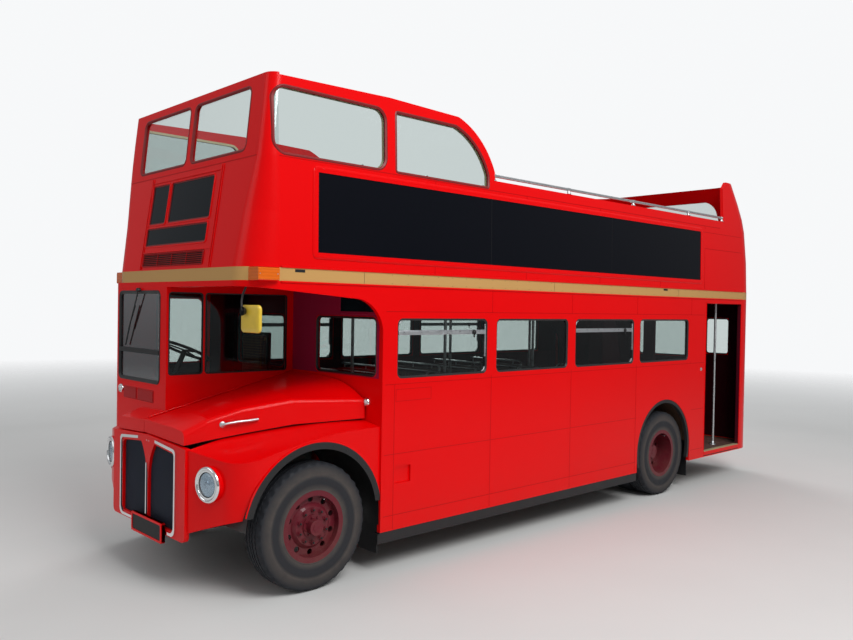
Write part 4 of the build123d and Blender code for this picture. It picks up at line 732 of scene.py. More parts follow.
class BUS_OT_stage(bpy.types.Operator):
    """Makes the pale floor, the soft lamps and the camera"""

    bl_idname = "bus.stage"
    bl_label = "Stage"

    def execute(self, context):
        """Floor, world, lamps and camera."""
        scene = context.scene
        scene.view_settings.view_transform = "Standard"
        self.floor(tuple(scene.bus_colours.stage))
        self.world(scene)
        self.lamps()
        self.camera(scene)
        return {"FINISHED"}

    def floor(self, colour):
        """A pale floor that keeps the shadow of the bus."""
        made = Finish("Studio floor")
        cloud = made.noise(0.6, 3)
        x, y = made.axes()[:2]
        away = made.sum("SQRT", x * x + y * y)
        made.set(Base_Color=made.blend(made.between(cloud, 0.3, 0.7), darker(colour, 0.97),
                                       colour), Roughness=0.8, Specular_IOR_Level=0.2,
                 Alpha=made.between(away, 9.0, 26.0, 1.0, 0.0))
        mesh = bpy.data.meshes.new("studio_floor")
        points = [(-60, -60, -0.001), (60, -60, -0.001), (60, 60, -0.001), (-60, 60, -0.001)]
        mesh.from_pydata(points, [], [(0, 1, 2, 3)])
        mesh.materials.append(made.material)
        floor = bpy.data.objects.new("studio_floor", mesh)
        bpy.context.scene.collection.objects.link(floor)

    def world(self, scene):
        """A plain sky: soft on the bus, pale where the camera or a mirror sees it."""
        world = bpy.data.worlds.new("Studio")
        scene.world = world
        made = Finish("Studio", world)
        seen = made.node("ShaderNodeLightPath")
        up = made.axes(made.node("ShaderNodeTexCoord"))[2]
        sky = made.node("ShaderNodeValToRGB", {"stops": [
            (0.18, (0.30, 0.30, 0.31)), (0.34, (0.62, 0.64, 0.66)), (1.0, (0.95, 0.97, 1.0))]},
            {0: made.between(up, -0.25, 0.9)})
        made.set(Color=made.blend(seen, sky, (0.93, 0.94, 0.95)),
                 Strength=made.between(seen, 0.0, 1.0, 0.52, 1.0))

    def lamps(self):
        """A broad key from the platform side, a weaker one ahead and a rim behind."""
        for name, spot, aim, size, power in (
                ("key", (9.0, -3.0, 9.5), (0, 0, 1.6), 7.0, 1020),
                ("fill", (-3.0, -12.0, 6.5), (0, -3, 1.8), 6.0, 110),
                ("rim", (-8.0, 7.0, 9.0), (0, 1, 2.0), 6.0, 420)):
            light = bpy.data.lights.new(name, "AREA")
            light.shape = "DISK"
            light.size = size
            light.energy = power
            lamp = bpy.data.objects.new(name, light)
            lamp.location = spot
            way = Vector(aim) - Vector(spot)
            lamp.rotation_euler = way.to_track_quat("-Z", "Y").to_euler()
            bpy.context.scene.collection.objects.link(lamp)

    def camera(self, scene):
        """The photograph's view."""
        turn, pitch, roll = map(radians, (CAMERA_TURN, CAMERA_PITCH, CAMERA_ROLL))
        ahead = Vector((-sin(turn) * cos(pitch), cos(turn) * cos(pitch), sin(pitch)))
        right = ahead.cross(Vector((0, 0, 1))).normalized()
        up = right.cross(ahead)
        right, up = (right * cos(roll) + up * sin(roll), up * cos(roll) - right * sin(roll))
        eye = bpy.data.cameras.new("photo_view")
        eye.sensor_width = 36
        eye.lens = CAMERA_LENS
        eye.clip_end = 300
        camera = bpy.data.objects.new("photo_view", eye)
        columns = Matrix((right, up, -ahead)).transposed().to_4x4()
        camera.matrix_world = Matrix.Translation(CAMERA_PLACE) @ columns
        scene.collection.objects.link(camera)
        scene.camera = camera


# Sides of the lower deck: the two panel joints, then seams as z, first y and last y
WAIST_Z = 1.577
CANT_Z = 2.187
SEAM_LEVELS = [(0.477, -2.66, 1.16), (0.990, -2.66, 1.16), (WAIST_Z, -2.66, 2.72),
               (CANT_Z, -2.66, 2.72), (0.477, 2.42, 2.72), (0.990, 2.42, 2.72)]
# The edges of the small plate below the first window: first and last y, then z
SMALL_PLATE = [(-2.54, -2.13, 1.43, 1.434), (-2.54, -2.13, 1.53, 1.534),
               (-2.54, -2.536, 1.43, 1.534), (-2.134, -2.13, 1.43, 1.534)]
PILLARS_Y = [-1.3505, -0.1065, 1.1375, 2.3815]
SEAM_WIDE = 0.005
GLASS_INSET = 0.017
# Opening windows: number along the side, and where its catch is
DROP_WINDOWS = [(0, 0.84), (2, 0.84)]
DROP_BAR_Z = 2.004
DOORWAY_Y = (2.767, 3.731)
DOORWAY_TOP = 2.341
LINING = 0.003
WALL = 0.040


def both(parts):
    """Parts of the platform side, and the same on the other side."""
    return parts + [mirrored(part) for part in parts]


def side_strip(y0, y1, z0, z1):
    """A flat strip on the upright side."""
    return slab(BODY_HALF, BODY_HALF + 0.0012, y0, y1, z0, z1)


def level_seam(z, y0, y1):
    """A seam along the side at a height."""
    return side_strip(y0, y1, z - SEAM_WIDE / 2, z + SEAM_WIDE / 2)


def upright_seam(y, z0, z1, wide=SEAM_WIDE):
    """A seam up the side."""
    return side_strip(y - wide / 2, y + wide / 2, z0, z1)


def window_loop(number, inset=0.0):
    """The rounded edge of a side window, drawn in by an inset."""
    start = WINDOWS_Y[number]
    return round_loop((start, start + WINDOW_WIDE, *WINDOW_Z), 0.055 - inset * 0.6, 6, inset)


class BUS_OT_panels(bpy.types.Operator):
    """Makes the seams, lips and small plates of the sides"""

    bl_idname = "bus.panels"
    bl_label = "Side panels"

    def execute(self, context):
        """Seams and the small plate, what is on the band, and the rows of rivets."""
        seams = [level_seam(z, y0, y1) for z, y0, y1 in SEAM_LEVELS]
        for number, y in enumerate(PILLARS_Y):
            seams.append(upright_seam(y, CANT_Z, BAND_Z))
            if number < 3:
                seams.append(upright_seam(y, SKIRT_Z + 0.01, WAIST_Z))
            seams.append(upright_seam(y, WAIST_Z, 1.60, 0.004))
        seams.append(upright_seam(-2.555, SKIRT_Z + 0.01, WAIST_Z))
        seams += [side_strip(*edge) for edge in SMALL_PLATE]
        piece("side_seams", both(seams), "seam")
        lips = []
        for z, out in ((BAND_Z - 0.006, 0.010), (BAND_TOP_Z + 0.006, 0.009)):
            section = [(-0.008, 0.0), (-0.006, out * 0.8), (0.0, out), (0.006, out * 0.8),
                       (0.008, 0.0)]
            lips.append(lofted([[(BODY_HALF + rise, y, z + off) for off, rise in section]
                                for y in (-3.69, -2.0, 0.0, 2.0, 3.76)], closed=False))
        piece("band_lips", both(lips), "body_red")
        screws = [stud((BODY_HALF, -2.60 + 0.178 * number, z), NEAR, 0.004, 0.0016, 6, 0.4)
                  for number in range(37) for z in (BAND_Z + 0.014, BAND_TOP_Z - 0.014)]
        piece("band_screws", both(screws), "band_dark")
        joints = [side_strip(y, y + 0.004, BAND_Z + 0.006, BAND_TOP_Z - 0.006)
                  for y in (-2.9, -0.42, 2.05)]
        piece("band_joints", both(joints), "band_dark")
        # The band's vents are flat strips of painted shade
        vents = [side_strip(y, y + 0.090, BAND_TOP_Z - 0.030, BAND_TOP_Z - 0.008)
                 for y in (-3.565, 1.700)]
        piece("band_vents", both(vents), "joint_and_shade_dark")
        rivets = [stud((BODY_HALF, -2.50 + 0.1244 * number, z), NEAR, 0.0045, 0.0018, 6, 0.5)
                  for z in (0.50, 0.967, 1.013) for number in range(29)]
        piece("side_rivets", both(rivets), "body_red")
        return {"FINISHED"}


class BUS_OT_side_windows(bpy.types.Operator):
    """Makes the seals, bars and catches of the saloon windows"""

    bl_idname = "bus.side_windows"
    bl_label = "Side windows"

    def execute(self, context):
        """A rubber in every opening, and the polished frames of those that drop."""
        wide = context.scene.bus_sizes.seal
        section = [(0.0, -0.001), (0.0, -0.014), (-wide, -0.0165), (-wide, -0.011),
                   (-0.006, -0.001)]
        inner = [(0.0, -WALL), (0.0, -0.0245), (-wide, -0.0245), (-wide, -WALL)]
        rim = [(0.0, -0.0165), (0.0, -0.009), (-0.010, -0.009), (-0.012, -0.0165)]
        face = on_flank(BODY_HALF)
        seals, frames, catches = [], [], []
        for number in range(4):
            seals += [bead(window_loop(number), shape, face) for shape in (section, inner)]
        for number, share in DROP_WINDOWS:
            start = WINDOWS_Y[number]
            loop = window_loop(number, wide)
            frames += [bead(part, rim, face, closed=False) for part in (loop[0:7], loop[14:21])]
            y0, y1 = start + wide, start + WINDOW_WIDE - wide
            x = BODY_HALF - GLASS_INSET + 0.0005
            frames.append(slab(x, x + 0.012, y0, y1, DROP_BAR_Z - 0.016, DROP_BAR_Z + 0.016))
            frames.append(slab(x, x + 0.004, y0, y1, DROP_BAR_Z + 0.016, DROP_BAR_Z + 0.024))
            frames.append(slab(x, x + 0.013, y1 - 0.013, y1, 1.78, WINDOW_Z[1] - 0.05))
            y = start + WINDOW_WIDE * share
            catches += [stud((x + 0.012, y, DROP_BAR_Z), NEAR, 0.024, 0.006, 20),
                        stud((x + 0.016, y, DROP_BAR_Z), NEAR, 0.012, 0.010, 12, 0.5),
                        slab(x + 0.012, x + 0.018, y - 0.006, y + 0.006, DROP_BAR_Z - 0.045,
                             DROP_BAR_Z)]
        piece("window_seals", both(seals), "trim_rubber")
        piece("drop_frames", both(frames), "polished", bevel=0.0015)
        piece("drop_catches", both(catches), "fitting_black")
        return {"FINISHED"}


class BUS_OT_lining(bpy.types.Operator):
    """Makes the inner linings of the saloon, partly in painted shade"""

    bl_idname = "bus.lining"
    bl_label = "Saloon lining"

    def execute(self, context):
        """Panels under the windows in the inner paint, and panels of painted shade over and between
        them.
        """
        x1 = BODY_HALF - WALL - 0.0005
        x0 = x1 - LINING
        sill, head = WINDOW_Z[0] - 0.01, WINDOW_Z[1] + 0.01
        below = [slab(x0, x1, -2.64, 1.0, 0.66, sill), slab(x0, x1, 1.0, 2.74, 1.20, sill)]
        above = [slab(x0, x1, -2.64, 2.74, head, 2.40)]
        starts = [-2.64] + [start + WINDOW_WIDE + 0.01 for start in WINDOWS_Y]
        ends = [start - 0.01 for start in WINDOWS_Y] + [2.74]
        above += [slab(x0, x1, start, end, sill, head) for start, end in zip(starts, ends)]
        piece("saloon_panels", both(below), "inner_maroon")
        # Painted shade over and between the windows
        piece("saloon_pillars", both(above), "inner_painted_shade")
        return {"FINISHED"}


# Seats
LOWER_FLOOR = 0.640
UPPER_FLOOR = 2.444
SEAT_PITCH = 0.720
AISLE_HALF = 0.290
# Each block of seats: side, outer end, first y, rows, floor level
SEAT_BLOCKS = [
    (1, 1.167, -2.480, 5, LOWER_FLOOR), (-1, 1.167, -2.480, 5, LOWER_FLOOR),
    (1, 1.153, -3.350, 10, UPPER_FLOOR), (-1, 1.153, -3.350, 8, UPPER_FLOOR),
]
SEAT_TOP = 0.326
SEAT_DEPTH = 0.390
BACK_HIGH = 0.880
BACK_LEAN = 0.072
CUSHION_HIGH = 0.104
SQUAB_FOOT = 0.436
SQUAB_TOP = 0.850
SQUAB_DEEP = 0.060
PAD_VOXEL = 0.017
PAD_CAP = 0.022
CLOTH_FRAMES = 20
BENCH_X = 0.8455
BENCH_TOP = 1.194


def fresh_mesh(made):
    """The mesh that an object has with its modifiers, as its own."""
    graph = bpy.context.evaluated_depsgraph_get()
    return bpy.data.meshes.new_from_object(made.evaluated_get(graph))


def pad_form(name, wide, deep, high):
    """A pad's mesh: a rounded form, swollen as cloth under pressure, flat where it rests."""
    a, b = wide / 2 - 0.006, deep / 2 - 0.006
    levels = ((0.012, 0.0), (0.0, high * 0.12), (0.0, high * 0.60), (0.010, high * 0.78),
              (0.030, high * 0.84))
    rings = stepped((-a, a, -b, b), 0.035, levels, lambda x, y, rise: (x, y, rise), 4)
    mesh = bpy.data.meshes.new(name)
    points, faces = lofted(rings, capped=True)
    mesh.from_pydata(points, [], faces)
    made = bpy.data.objects.new(name, mesh)
    bpy.context.scene.collection.objects.link(made)
    remesh = made.modifiers.new("Even", "REMESH")
    remesh.mode = "VOXEL"
    remesh.voxel_size = PAD_VOXEL
    made.data = fresh_mesh(made)
    made.modifiers.clear()
    swell(made)
    made.data.name = name
    mesh = made.data
    bpy.data.objects.remove(made)
    soft = bmesh.new()
    soft.from_mesh(mesh)
    crown = 0.010
    for point in soft.verts:
        across = 1 - min(1.0, abs(point.co.x) / (wide / 2)) ** 4
        along = 1 - min(1.0, abs(point.co.y) / (deep / 2)) ** 4
        if point.co.z > high * 0.5:
            point.co.z += crown * across * along
        point.co.x = max(-wide / 2, min(wide / 2, point.co.x))
        point.co.y = max(-deep / 2, min(deep / 2, point.co.y))
        point.co.z = max(0.0, min(high, point.co.z))
    soft.to_mesh(mesh)
    soft.free()
    mesh.polygons.foreach_set("use_smooth", [True] * len(mesh.polygons))
    return mesh


def swell(made):
    """Steps a cloth under pressure and keeps its form, with each point's way capped."""
    scene = bpy.context.scene
    start = [point.co.copy() for point in made.data.vertices]
    cloth = made.modifiers.new("Cloth", "CLOTH")
    cloth.settings.use_pressure = True
    cloth.settings.uniform_pressure_force = 4
    cloth.settings.effector_weights.gravity = 0
    cloth.settings.quality = 5
    cloth.settings.tension_stiffness = 30
    cloth.settings.compression_stiffness = 30
    for number in range(1, CLOTH_FRAMES + 1):
        scene.frame_set(number)
    swollen = fresh_mesh(made)
    made.modifiers.clear()
    for point, was, now in zip(made.data.vertices, start, swollen.vertices):
        way = now.co - was
        if way.length > PAD_CAP:
            way = way * (PAD_CAP / way.length)
        point.co = was + way
    scene.frame_set(1)


def pad_piping(mesh, wide, deep, high):
    """The welt sewn round a pad's upper edge, laid on its surface."""
    form = bmesh.new()
    form.from_mesh(mesh)
    tree = BVHTree.FromBMesh(form)
    path = []
    for x, y in round_loop((-wide / 2, wide / 2, -deep / 2, deep / 2), 0.04, 5, 0.006):
        spot = tree.find_nearest(Vector((x, y, high * 0.86)))[0]
        if not path or (spot - path[-1]).length > 0.004:
            path.append(spot)
    form.free()
    spots = []
    for spot, after in paired(path):
        steps = max(1, round((after - spot).length / 0.06))
        spots += [tuple(spot.lerp(after, step / steps)) for step in range(steps)]
    return tube(spots, 0.0042, 6, closed=True)


def seat_mesh(name, wide, deep, high):
    """A pad with its welt, in one mesh with two finishes."""
    mesh = pad_form(name, wide, deep, high)
    points, faces = pad_piping(mesh, wide, deep, high)
    form = bmesh.new()
    form.from_mesh(mesh)
    made = [form.verts.new(point) for point in points]
    for face in faces:
        welt = form.faces.new([made[index] for index in face])
        welt.material_index = 1
        welt.smooth = True
    form.to_mesh(mesh)
    form.free()
    mesh.materials.append(FINISH["seat_cloth"])
    mesh.materials.append(FINISH["piping"])
    return mesh


def put_pad(name, mesh, matrix, node="seat_pads"):
    """A pad object in its place, with the solid that it stands for hidden."""
    made = put(name, mesh, "bus", matrix)
    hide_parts(node)


def back_place(y, height):
    """How far back a seat's sheet lies at a height over the floor."""
    return y + SEAT_DEPTH + BACK_LEAN * (height - SEAT_TOP) / (BACK_HIGH - SEAT_TOP)


def seat_rail(x0, x1, y, floor):
    """A polished rail over a seat's back, turned down at the gangway, and the squab's strip."""
    top, bend, end = BACK_HIGH + 0.045, 0.045, x0 - 0.012

    def behind(x, rise):
        """A spot close behind the seat's sheet, at a height over the floor."""
        return (x, back_place(y, rise) + 0.008, floor + rise)

    path = [behind(x1, top)]
    for step in range(7):
        turn = radians(90 * step / 6)
        path.append(behind(end + bend - bend * sin(turn), top - bend + bend * cos(turn)))
    path.append(behind(end, 0.45))
    strip = [(x, back_place(y, SQUAB_TOP) - 0.044, floor + SQUAB_TOP + 0.004)
             for x in (x1, x0 + 0.012)]
    posts = [tube([behind(x, BACK_HIGH - 0.01), behind(x, top)], 0.008, 8)
             for x in (x1 - 0.05, (x0 + x1) / 2, x0 + 0.12)]
    return [tube(path, 0.0115, 8), tube(strip, 0.0065, 6)] + posts


class BUS_OT_seats(bpy.types.Operator):
    """Makes the padded seats and their polished rails"""

    bl_idname = "bus.seats"
    bl_label = "Seats"

    def execute(self, context):
        """One cushion and one squab of each kind, laid in every row."""
        lean = atan2(BACK_LEAN, BACK_HIGH - SEAT_TOP)
        rails = []
        for group, (side, far, first, rows, floor) in enumerate(SEAT_BLOCKS):
            wide = far - AISLE_HALF - 0.012
            if group in (0, 2):
                deck = "lower" if group == 0 else "upper"
                cushion = seat_mesh("cushion_" + deck, wide, SEAT_DEPTH + 0.006, CUSHION_HIGH)
                squab = seat_mesh("squab_" + deck, wide, SQUAB_TOP - SQUAB_FOOT, SQUAB_DEEP)
            middle = side * (AISLE_HALF + far) / 2
            for row in range(rows):
                y = first + SEAT_PITCH * row
                name = f"{deck}_{'near' if side > 0 else 'off'}_{row + 1}"
                spot = (middle, y + SEAT_DEPTH / 2 - 0.007, floor + SEAT_TOP)
                put_pad("cushion_" + name, cushion, Matrix.Translation(spot))
                rise = (SQUAB_FOOT + SQUAB_TOP) / 2
                turn = Matrix.Rotation(pi / 2 - lean, 4, "X")
                put_pad("squab_" + name, squab,
                        Matrix.Translation((middle, back_place(y, rise) - 0.001, floor + rise))
                        @ turn)
                rail = seat_rail(AISLE_HALF, far - 0.006, y, floor)
                rails += rail if side > 0 else [mirrored(part) for part in rail]
        piece("seat_rails", rails, "rail_steel")
        bench = seat_mesh("bench_pad", 0.480, 1.134, 0.090)
        for side, word in ((1, "near"), (-1, "off")):
            put_pad("bench_" + word, bench,
                    Matrix.Translation((side * BENCH_X, 1.760, BENCH_TOP)))
        driver = seat_mesh("driver_cushion", 0.430, 0.360, 0.090)
        put_pad("driver_cushion", driver, Matrix.Translation((-0.640, -2.990, 1.455)),
                node="driver_seat_pads")
        rest = seat_mesh("driver_squab", 0.420, 0.480, 0.068)
        turn = Matrix.Rotation(pi / 2, 4, "X")
        put_pad("driver_squab", rest, Matrix.Translation((-0.640, -2.741, 1.720)) @ turn,
                node="driver_seat_pads")
        return {"FINISHED"}


# Front of the bus; boxes are the two ends across or along, then the two heights
BODY_FRONT_Y = -3.949
NOSE_Y = -4.150
WINDSCREEN = (-1.050, -0.220, 1.535, 2.325)
WINDSCREEN_BAR_Z = 1.800
CAB_CORNER = 0.150
CAB_PANES = [(-3.930, -3.612, 1.615, 2.320), (-3.594, -2.755, 1.615, 2.320)]
CAB_PANES_X = -0.100
CAB_WALL_X = 0.041 - BODY_HALF
BULKHEAD_WINDOWS = [(0.283, 1.130, 1.640, 2.130), (-1.090, -0.250, 1.640, 2.130)]
CANOPY_BLIND = (0.640, 1.125, 2.168, 2.345)
VENT_FLAPS = [(-0.930, -0.675, 1.372, 1.462), (-0.640, -0.335, 1.372, 1.462)]
MIRROR = (0.993, 1.247, 2.018, 2.222)
MIRROR_Y = (-3.890, -3.864)
BLINDS = [(-0.580, -0.270, 2.905, 3.250), (-0.225, 0.505, 2.905, 3.250),
          (-0.590, 0.495, 2.715, 2.872)]
FRONT_PANES = [(0.036, 0.925, 3.385, 3.880), (-0.925, -0.036, 3.385, 3.880)]
SIDE_SCREEN = (-3.760, -2.665, 3.345, 3.860)
LAMP = (0.878, -4.063, 0.886)
LAMP_TURN = 9.6
AD_PANEL = (-3.360, 2.580, 2.632, 3.248)


def on_cab_front(x, z, out):
    """The cab's front, round its corner."""
    past = abs(x) - (BODY_HALF - CAB_CORNER)
    if past <= 0:
        return (x, BODY_FRONT_Y - out, z)
    turn = past / CAB_CORNER
    side = -1 if x < 0 else 1
    reach = CAB_CORNER + out
    return (side * (BODY_HALF - CAB_CORNER + reach * sin(turn)),
            BODY_FRONT_Y + CAB_CORNER - reach * cos(turn), z)


def seal_section(wide, out):
    """A rubber's section: over the edge and into the opening."""
    return [(0.008, 0.0), (0.006, out), (-0.002, out + 0.002), (-wide, -0.004),
            (-wide, -0.016), (0.0, -0.016), (0.0, 0.0)]


def rubber(box, radius, place, wide, out=0.003, steps=6):
    """The rubber of a rounded window."""
    return bead(dense(round_loop(box, radius, steps), 0.12), seal_section(wide, out), place)


class BUS_OT_cab(bpy.types.Operator):
    """Makes the cab's rubbers, wiper, mirror and small lamps, and its vent flaps, panels and linings
    in painted shade
    """

    bl_idname = "bus.cab"
    bl_label = "Cab"

    def execute(self, context):
        """The windscreen first, then what hangs and stands round it."""
        x0, x1, z0, z1 = WINDSCREEN
        rubbers = [rubber(WINDSCREEN, 0.05, on_cab_front, 0.022, 0.005),
                   self.bar(x0 + 0.01, x1 - 0.01, 0.020)]
        rubbers += [bead(round_loop(box, 0.03, 4), [(0.0, 0.001), (-0.012, 0.001),
                                                    (-0.012, -0.012), (0.0, -0.012)],
                         on_flank(CAB_PANES_X)) for box in CAB_PANES]
        rubbers += [rubber(box, 0.05, on_front(BULKHEAD_Y), 0.012) for box in BULKHEAD_WINDOWS]
        piece("cab_rubbers", rubbers, "trim_rubber")
        piece("windscreen_bar", [self.bar(x0 + 0.02, x1 - 0.02, 0.008, 0.007)], "polished")
        skin = [[on_cab_front(x0 + 0.02 + (x1 - x0 - 0.04) * step / 14, z, -0.014)
                 for step in range(15)] for z in (z0 + 0.02, z1 - 0.02)]
        piece("windscreen_sheen", [lofted(skin, closed=False)], "sheen_glass")
        self.wiper()
        self.mirror()
        self.lamps()
        self.flaps()
        self.markers()
        self.bulkhead()
        return {"FINISHED"}

    def bar(self, x0, x1, half, out=0.009):
        """A level bar across the windscreen, round its corner."""
        z = WINDSCREEN_BAR_Z
        section = ((z - half, -0.016), (z - half, out), (z + half, out), (z + half, -0.016))
        return lofted([[on_cab_front(x0 + (x1 - x0) * step / 14, up, off) for up, off in section]
                       for step in range(15)], capped=True)

    def wiper(self):
        """The wiper on the upper pane: its spindle, arm and blade."""
        y = BODY_FRONT_Y
        parts = [stud((-0.62, y - 0.002, 2.335), AHEAD, 0.020, 0.030, 16),
                 tube([(-0.62, y - 0.026, 2.335), (-0.62, y - 0.020, 2.315),
                       (-0.76, y - 0.016, 2.08), (-0.82, y - 0.014, 1.985)], 0.006, 8),
                 tube([(-0.70, y - 0.007, 2.20), (-0.79, y - 0.010, 2.05),
                       (-0.90, y - 0.007, 1.84)], 0.007, 6)]
        piece("wiper", parts, "fitting_black")

    def mirror(self):
        """The mirror's case, glass, clamp and arm, and the red bracket under the canopy."""
        front, back = MIRROR_Y
        levels = ((0.034, back + 0.001), (0.002, back + 0.001), (0.0, back - 0.003),
                  (0.0, front + 0.010), (0.003, front + 0.004), (0.010, front + 0.0005),
                  (0.050, front))
        rings = stepped(MIRROR, 0.034, levels, lambda x, z, y: (x, y, z), tighter=0.3)
        piece("mirror_case", [lofted(rings, capped=True)], "mirror_case",
              replaces=("mirror_near",))
        loop = round_loop(MIRROR, 0.028, 6, 0.013)
        piece("mirror_glass", [plate(loop, on_rear(back), 0.0012, 0.0030)], "mirror_glass")
        clamp = [lathe([(0.030, 0.0), (0.026, 0.022), (0.014, 0.030), (0.004, 0.034),
                        (0.0, 0.034)], (1.062, front - 0.030, 2.176), 24, "y"),
                 tube([(1.040, -3.872, 2.404), (1.036, -3.876, 2.350), (1.020, -3.888, 2.300),
                       (1.026, -3.902, 2.245), (1.050, -3.912, 2.196), (1.062, -3.910, 2.178)],
                      0.0085, 10)]
        piece("mirror_clamp", clamp, "fitting_black")
        hook = [tube([(1.040, -3.872, 2.402), (1.040, -3.872, 2.362)], 0.014, 14),
                lathe([(-0.004, 0.0), (-0.004, 0.030), (0.006, 0.034), (0.024, 0.046)],
                      (1.040, -3.872, 2.380), 24, "z")]
        piece("mirror_bracket", hook, "body_red")

    def lamps(self):
        """Side lamps under the windscreen and at the bulkhead."""
        spots = ((-0.985, BODY_FRONT_Y, 1.440), (1.022, BULKHEAD_Y, 1.418))
        rings = [lathe([(0.0, 0.040), (-0.012, 0.040), (-0.020, 0.034), (-0.018, 0.028),
                        (-0.004, 0.026)], spot, 28, "y") for spot in spots]
        glasses = [lathe([(-0.004, 0.027), (-0.016, 0.024), (-0.024, 0.012), (-0.026, 0.001)],
                         spot, 24, "y") for spot in spots]
        piece("side_lamp_rings", rings, "bright_chrome")
        piece("side_lamp_glasses", glasses, "lamp_glass")

    def flaps(self):
        """Two vent flaps under the windscreen, each with a bead round it, in a darker red as painted
        shade.
        """
        face = on_front(BODY_FRONT_Y)
        parts = []
        for box in VENT_FLAPS:
            parts += [plate(round_loop(box, 0.008, 3), face, 0.0, 0.006),
                      bead(round_loop(box, 0.012, 3, -0.01),
                           [(-0.006, 0.0), (-0.004, 0.004), (0.0, 0.0)], face)]
        # The flaps' darker red is painted shade
        piece("vent_flaps", parts, "flap_shaded_red", bevel=0.001)

    def markers(self):
        """Red trims over and under the amber lamps, with their screws."""
        trims = [slab(1.12, 1.2485, -3.899, -3.721, z, z + 0.004)
                 for z in (BAND_Z - 0.002, BAND_Z + 0.096)]
        screws = [stud((1.2488, y, 2.452), NEAR, 0.006, 0.0002, 8) for y in (-3.885, -3.735)]
        piece("marker_trims", both(trims), "body_red", bevel=0.001)
        piece("marker_screws", both(screws), "polished")

    def bulkhead(self):
        """Panels of painted shade round the bulkhead windows and the cab door's, and a blank blind in
        a frame of painted shade.
        """
        y = BULKHEAD_Y - 0.002
        panels = [self.ring_panel((x0 - 0.012, x1 + 0.012, z0 - 0.012, z1 + 0.012), outer,
                                  on_front(y))
                  for (x0, x1, z0, z1), outer in zip(BULKHEAD_WINDOWS, (
                      (-0.094, 1.172, 1.625, 2.380), (-1.205, -0.137, 1.200, 2.395)))]
        walls = [slab(CAB_WALL_X, CAB_WALL_X + 0.001, -2.966, y, 1.200, 2.395),
                 slab(CAB_WALL_X, CAB_WALL_X + 0.001, -3.735, -2.966, 2.334, 2.395)]
        # The panel round the bulkhead window is painted shade: the shadow under the canopy
        piece("bulkhead_shade_panel", panels[:1], "canopy_painted_shade")
        # The cab's linings are painted shade over its red walls
        piece("cab_shade_lining", panels[1:] + walls, "inner_painted_shade")
        face, loop = on_front(BULKHEAD_Y), round_loop(CANOPY_BLIND, 0.015, 4)
        piece("canopy_blind", [plate(loop, face, 0.0030, 0.0120)], "blind_black")
        # The blind's frame is painted shade as well
        piece("canopy_blind_frame", [bead(loop, [(-0.012, 0.002), (-0.012, 0.014),
                                                 (-0.004, 0.017), (0.012, 0.017),
                                                 (0.014, 0.002)], face)], "canopy_painted_shade")
        panel = self.ring_panel((-3.502, -3.008, 1.628, 2.282), (-3.536, -2.974, 1.274, 2.326),
                                on_flank(-BODY_HALF - 0.004))
        # Painted shade inside the cab door
        piece("cab_door_shade_lining", [panel], "inner_painted_shade", "cab_door")

    def ring_panel(self, opening, outer, place):
        """A flat panel with a round-cornered opening in it."""
        return lofted([[place(a, b, 0.0) for a, b in loop]
                       for loop in (round_loop(opening, 0.05), round_loop(outer, 0.002))])


# Nose: the grille's middle and mesh, the plate's box, and the arch's centre over the road
GRILLE_X = 0.012
GRILLE_MESH_Y = -4.126
PLATE = (-0.200, 0.350, 0.345, 0.503)
PLATE_Y = -4.190
ARCH = (-3.319, 0.520)
ARCH_HOLLOW_R = 0.6285
# The bonnet's sections: y, side x, foot z
BONNET_SIDE = [(-4.132, 0.600, 1.142), (-3.960, 0.650, 1.172), (-3.700, 0.722, 1.210),
               (-3.300, 0.836, 1.261), (-2.702, 1.008, 1.281)]
HINGE_X = -0.088
HINGE_Z = (1.274, 1.618)
# The headlamp's turned parts: name, finish, profile and steps round
LAMP_PARTS = [
    ("rings", "bright_chrome", [(-0.020, 0.1370), (-0.026, 0.1362), (-0.034, 0.130),
                                (-0.036, 0.122), (-0.033, 0.113), (-0.026, 0.108),
                                (-0.018, 0.107)], 56),
    ("shells", "body_red", [(0.032, 0.1385), (-0.014, 0.1385), (-0.020, 0.1375),
                            (-0.021, 0.1340)], 56),
    # The gap round the reflector is painted shade
    ("gaps", "joint_and_shade_dark", [(-0.018, 0.108), (-0.024, 0.1075), (-0.022, 0.099),
                           (-0.024, 0.090), (-0.018, 0.089)], 48),
    ("reflectors", "reflector", [(-0.0195, 0.090), (-0.0190, 0.080), (-0.0185, 0.060),
                                 (-0.0200, 0.030), (-0.0240, 0.026), (-0.0260, 0.016),
                                 (-0.0265, 0.001)], 40),
    ("glasses", "lamp_clear", [(-0.019, 0.090), (-0.028, 0.086), (-0.036, 0.068),
                               (-0.041, 0.040), (-0.043, 0.001)], 40),
]


def bonnet_value(y, column):
    """The bonnet's side x or foot level at a place along it."""
    for ahead, behind in zip(BONNET_SIDE, BONNET_SIDE[1:]):
        if y <= behind[0]:
            share = (y - ahead[0]) / (behind[0] - ahead[0])
            return ahead[column] + share * (behind[column] - ahead[column])
    return BONNET_SIDE[-1][column]


def on_bonnet_side(y, z, out):
    """The bonnet's upright side."""
    return (bonnet_value(y, 1) + out, y, z)


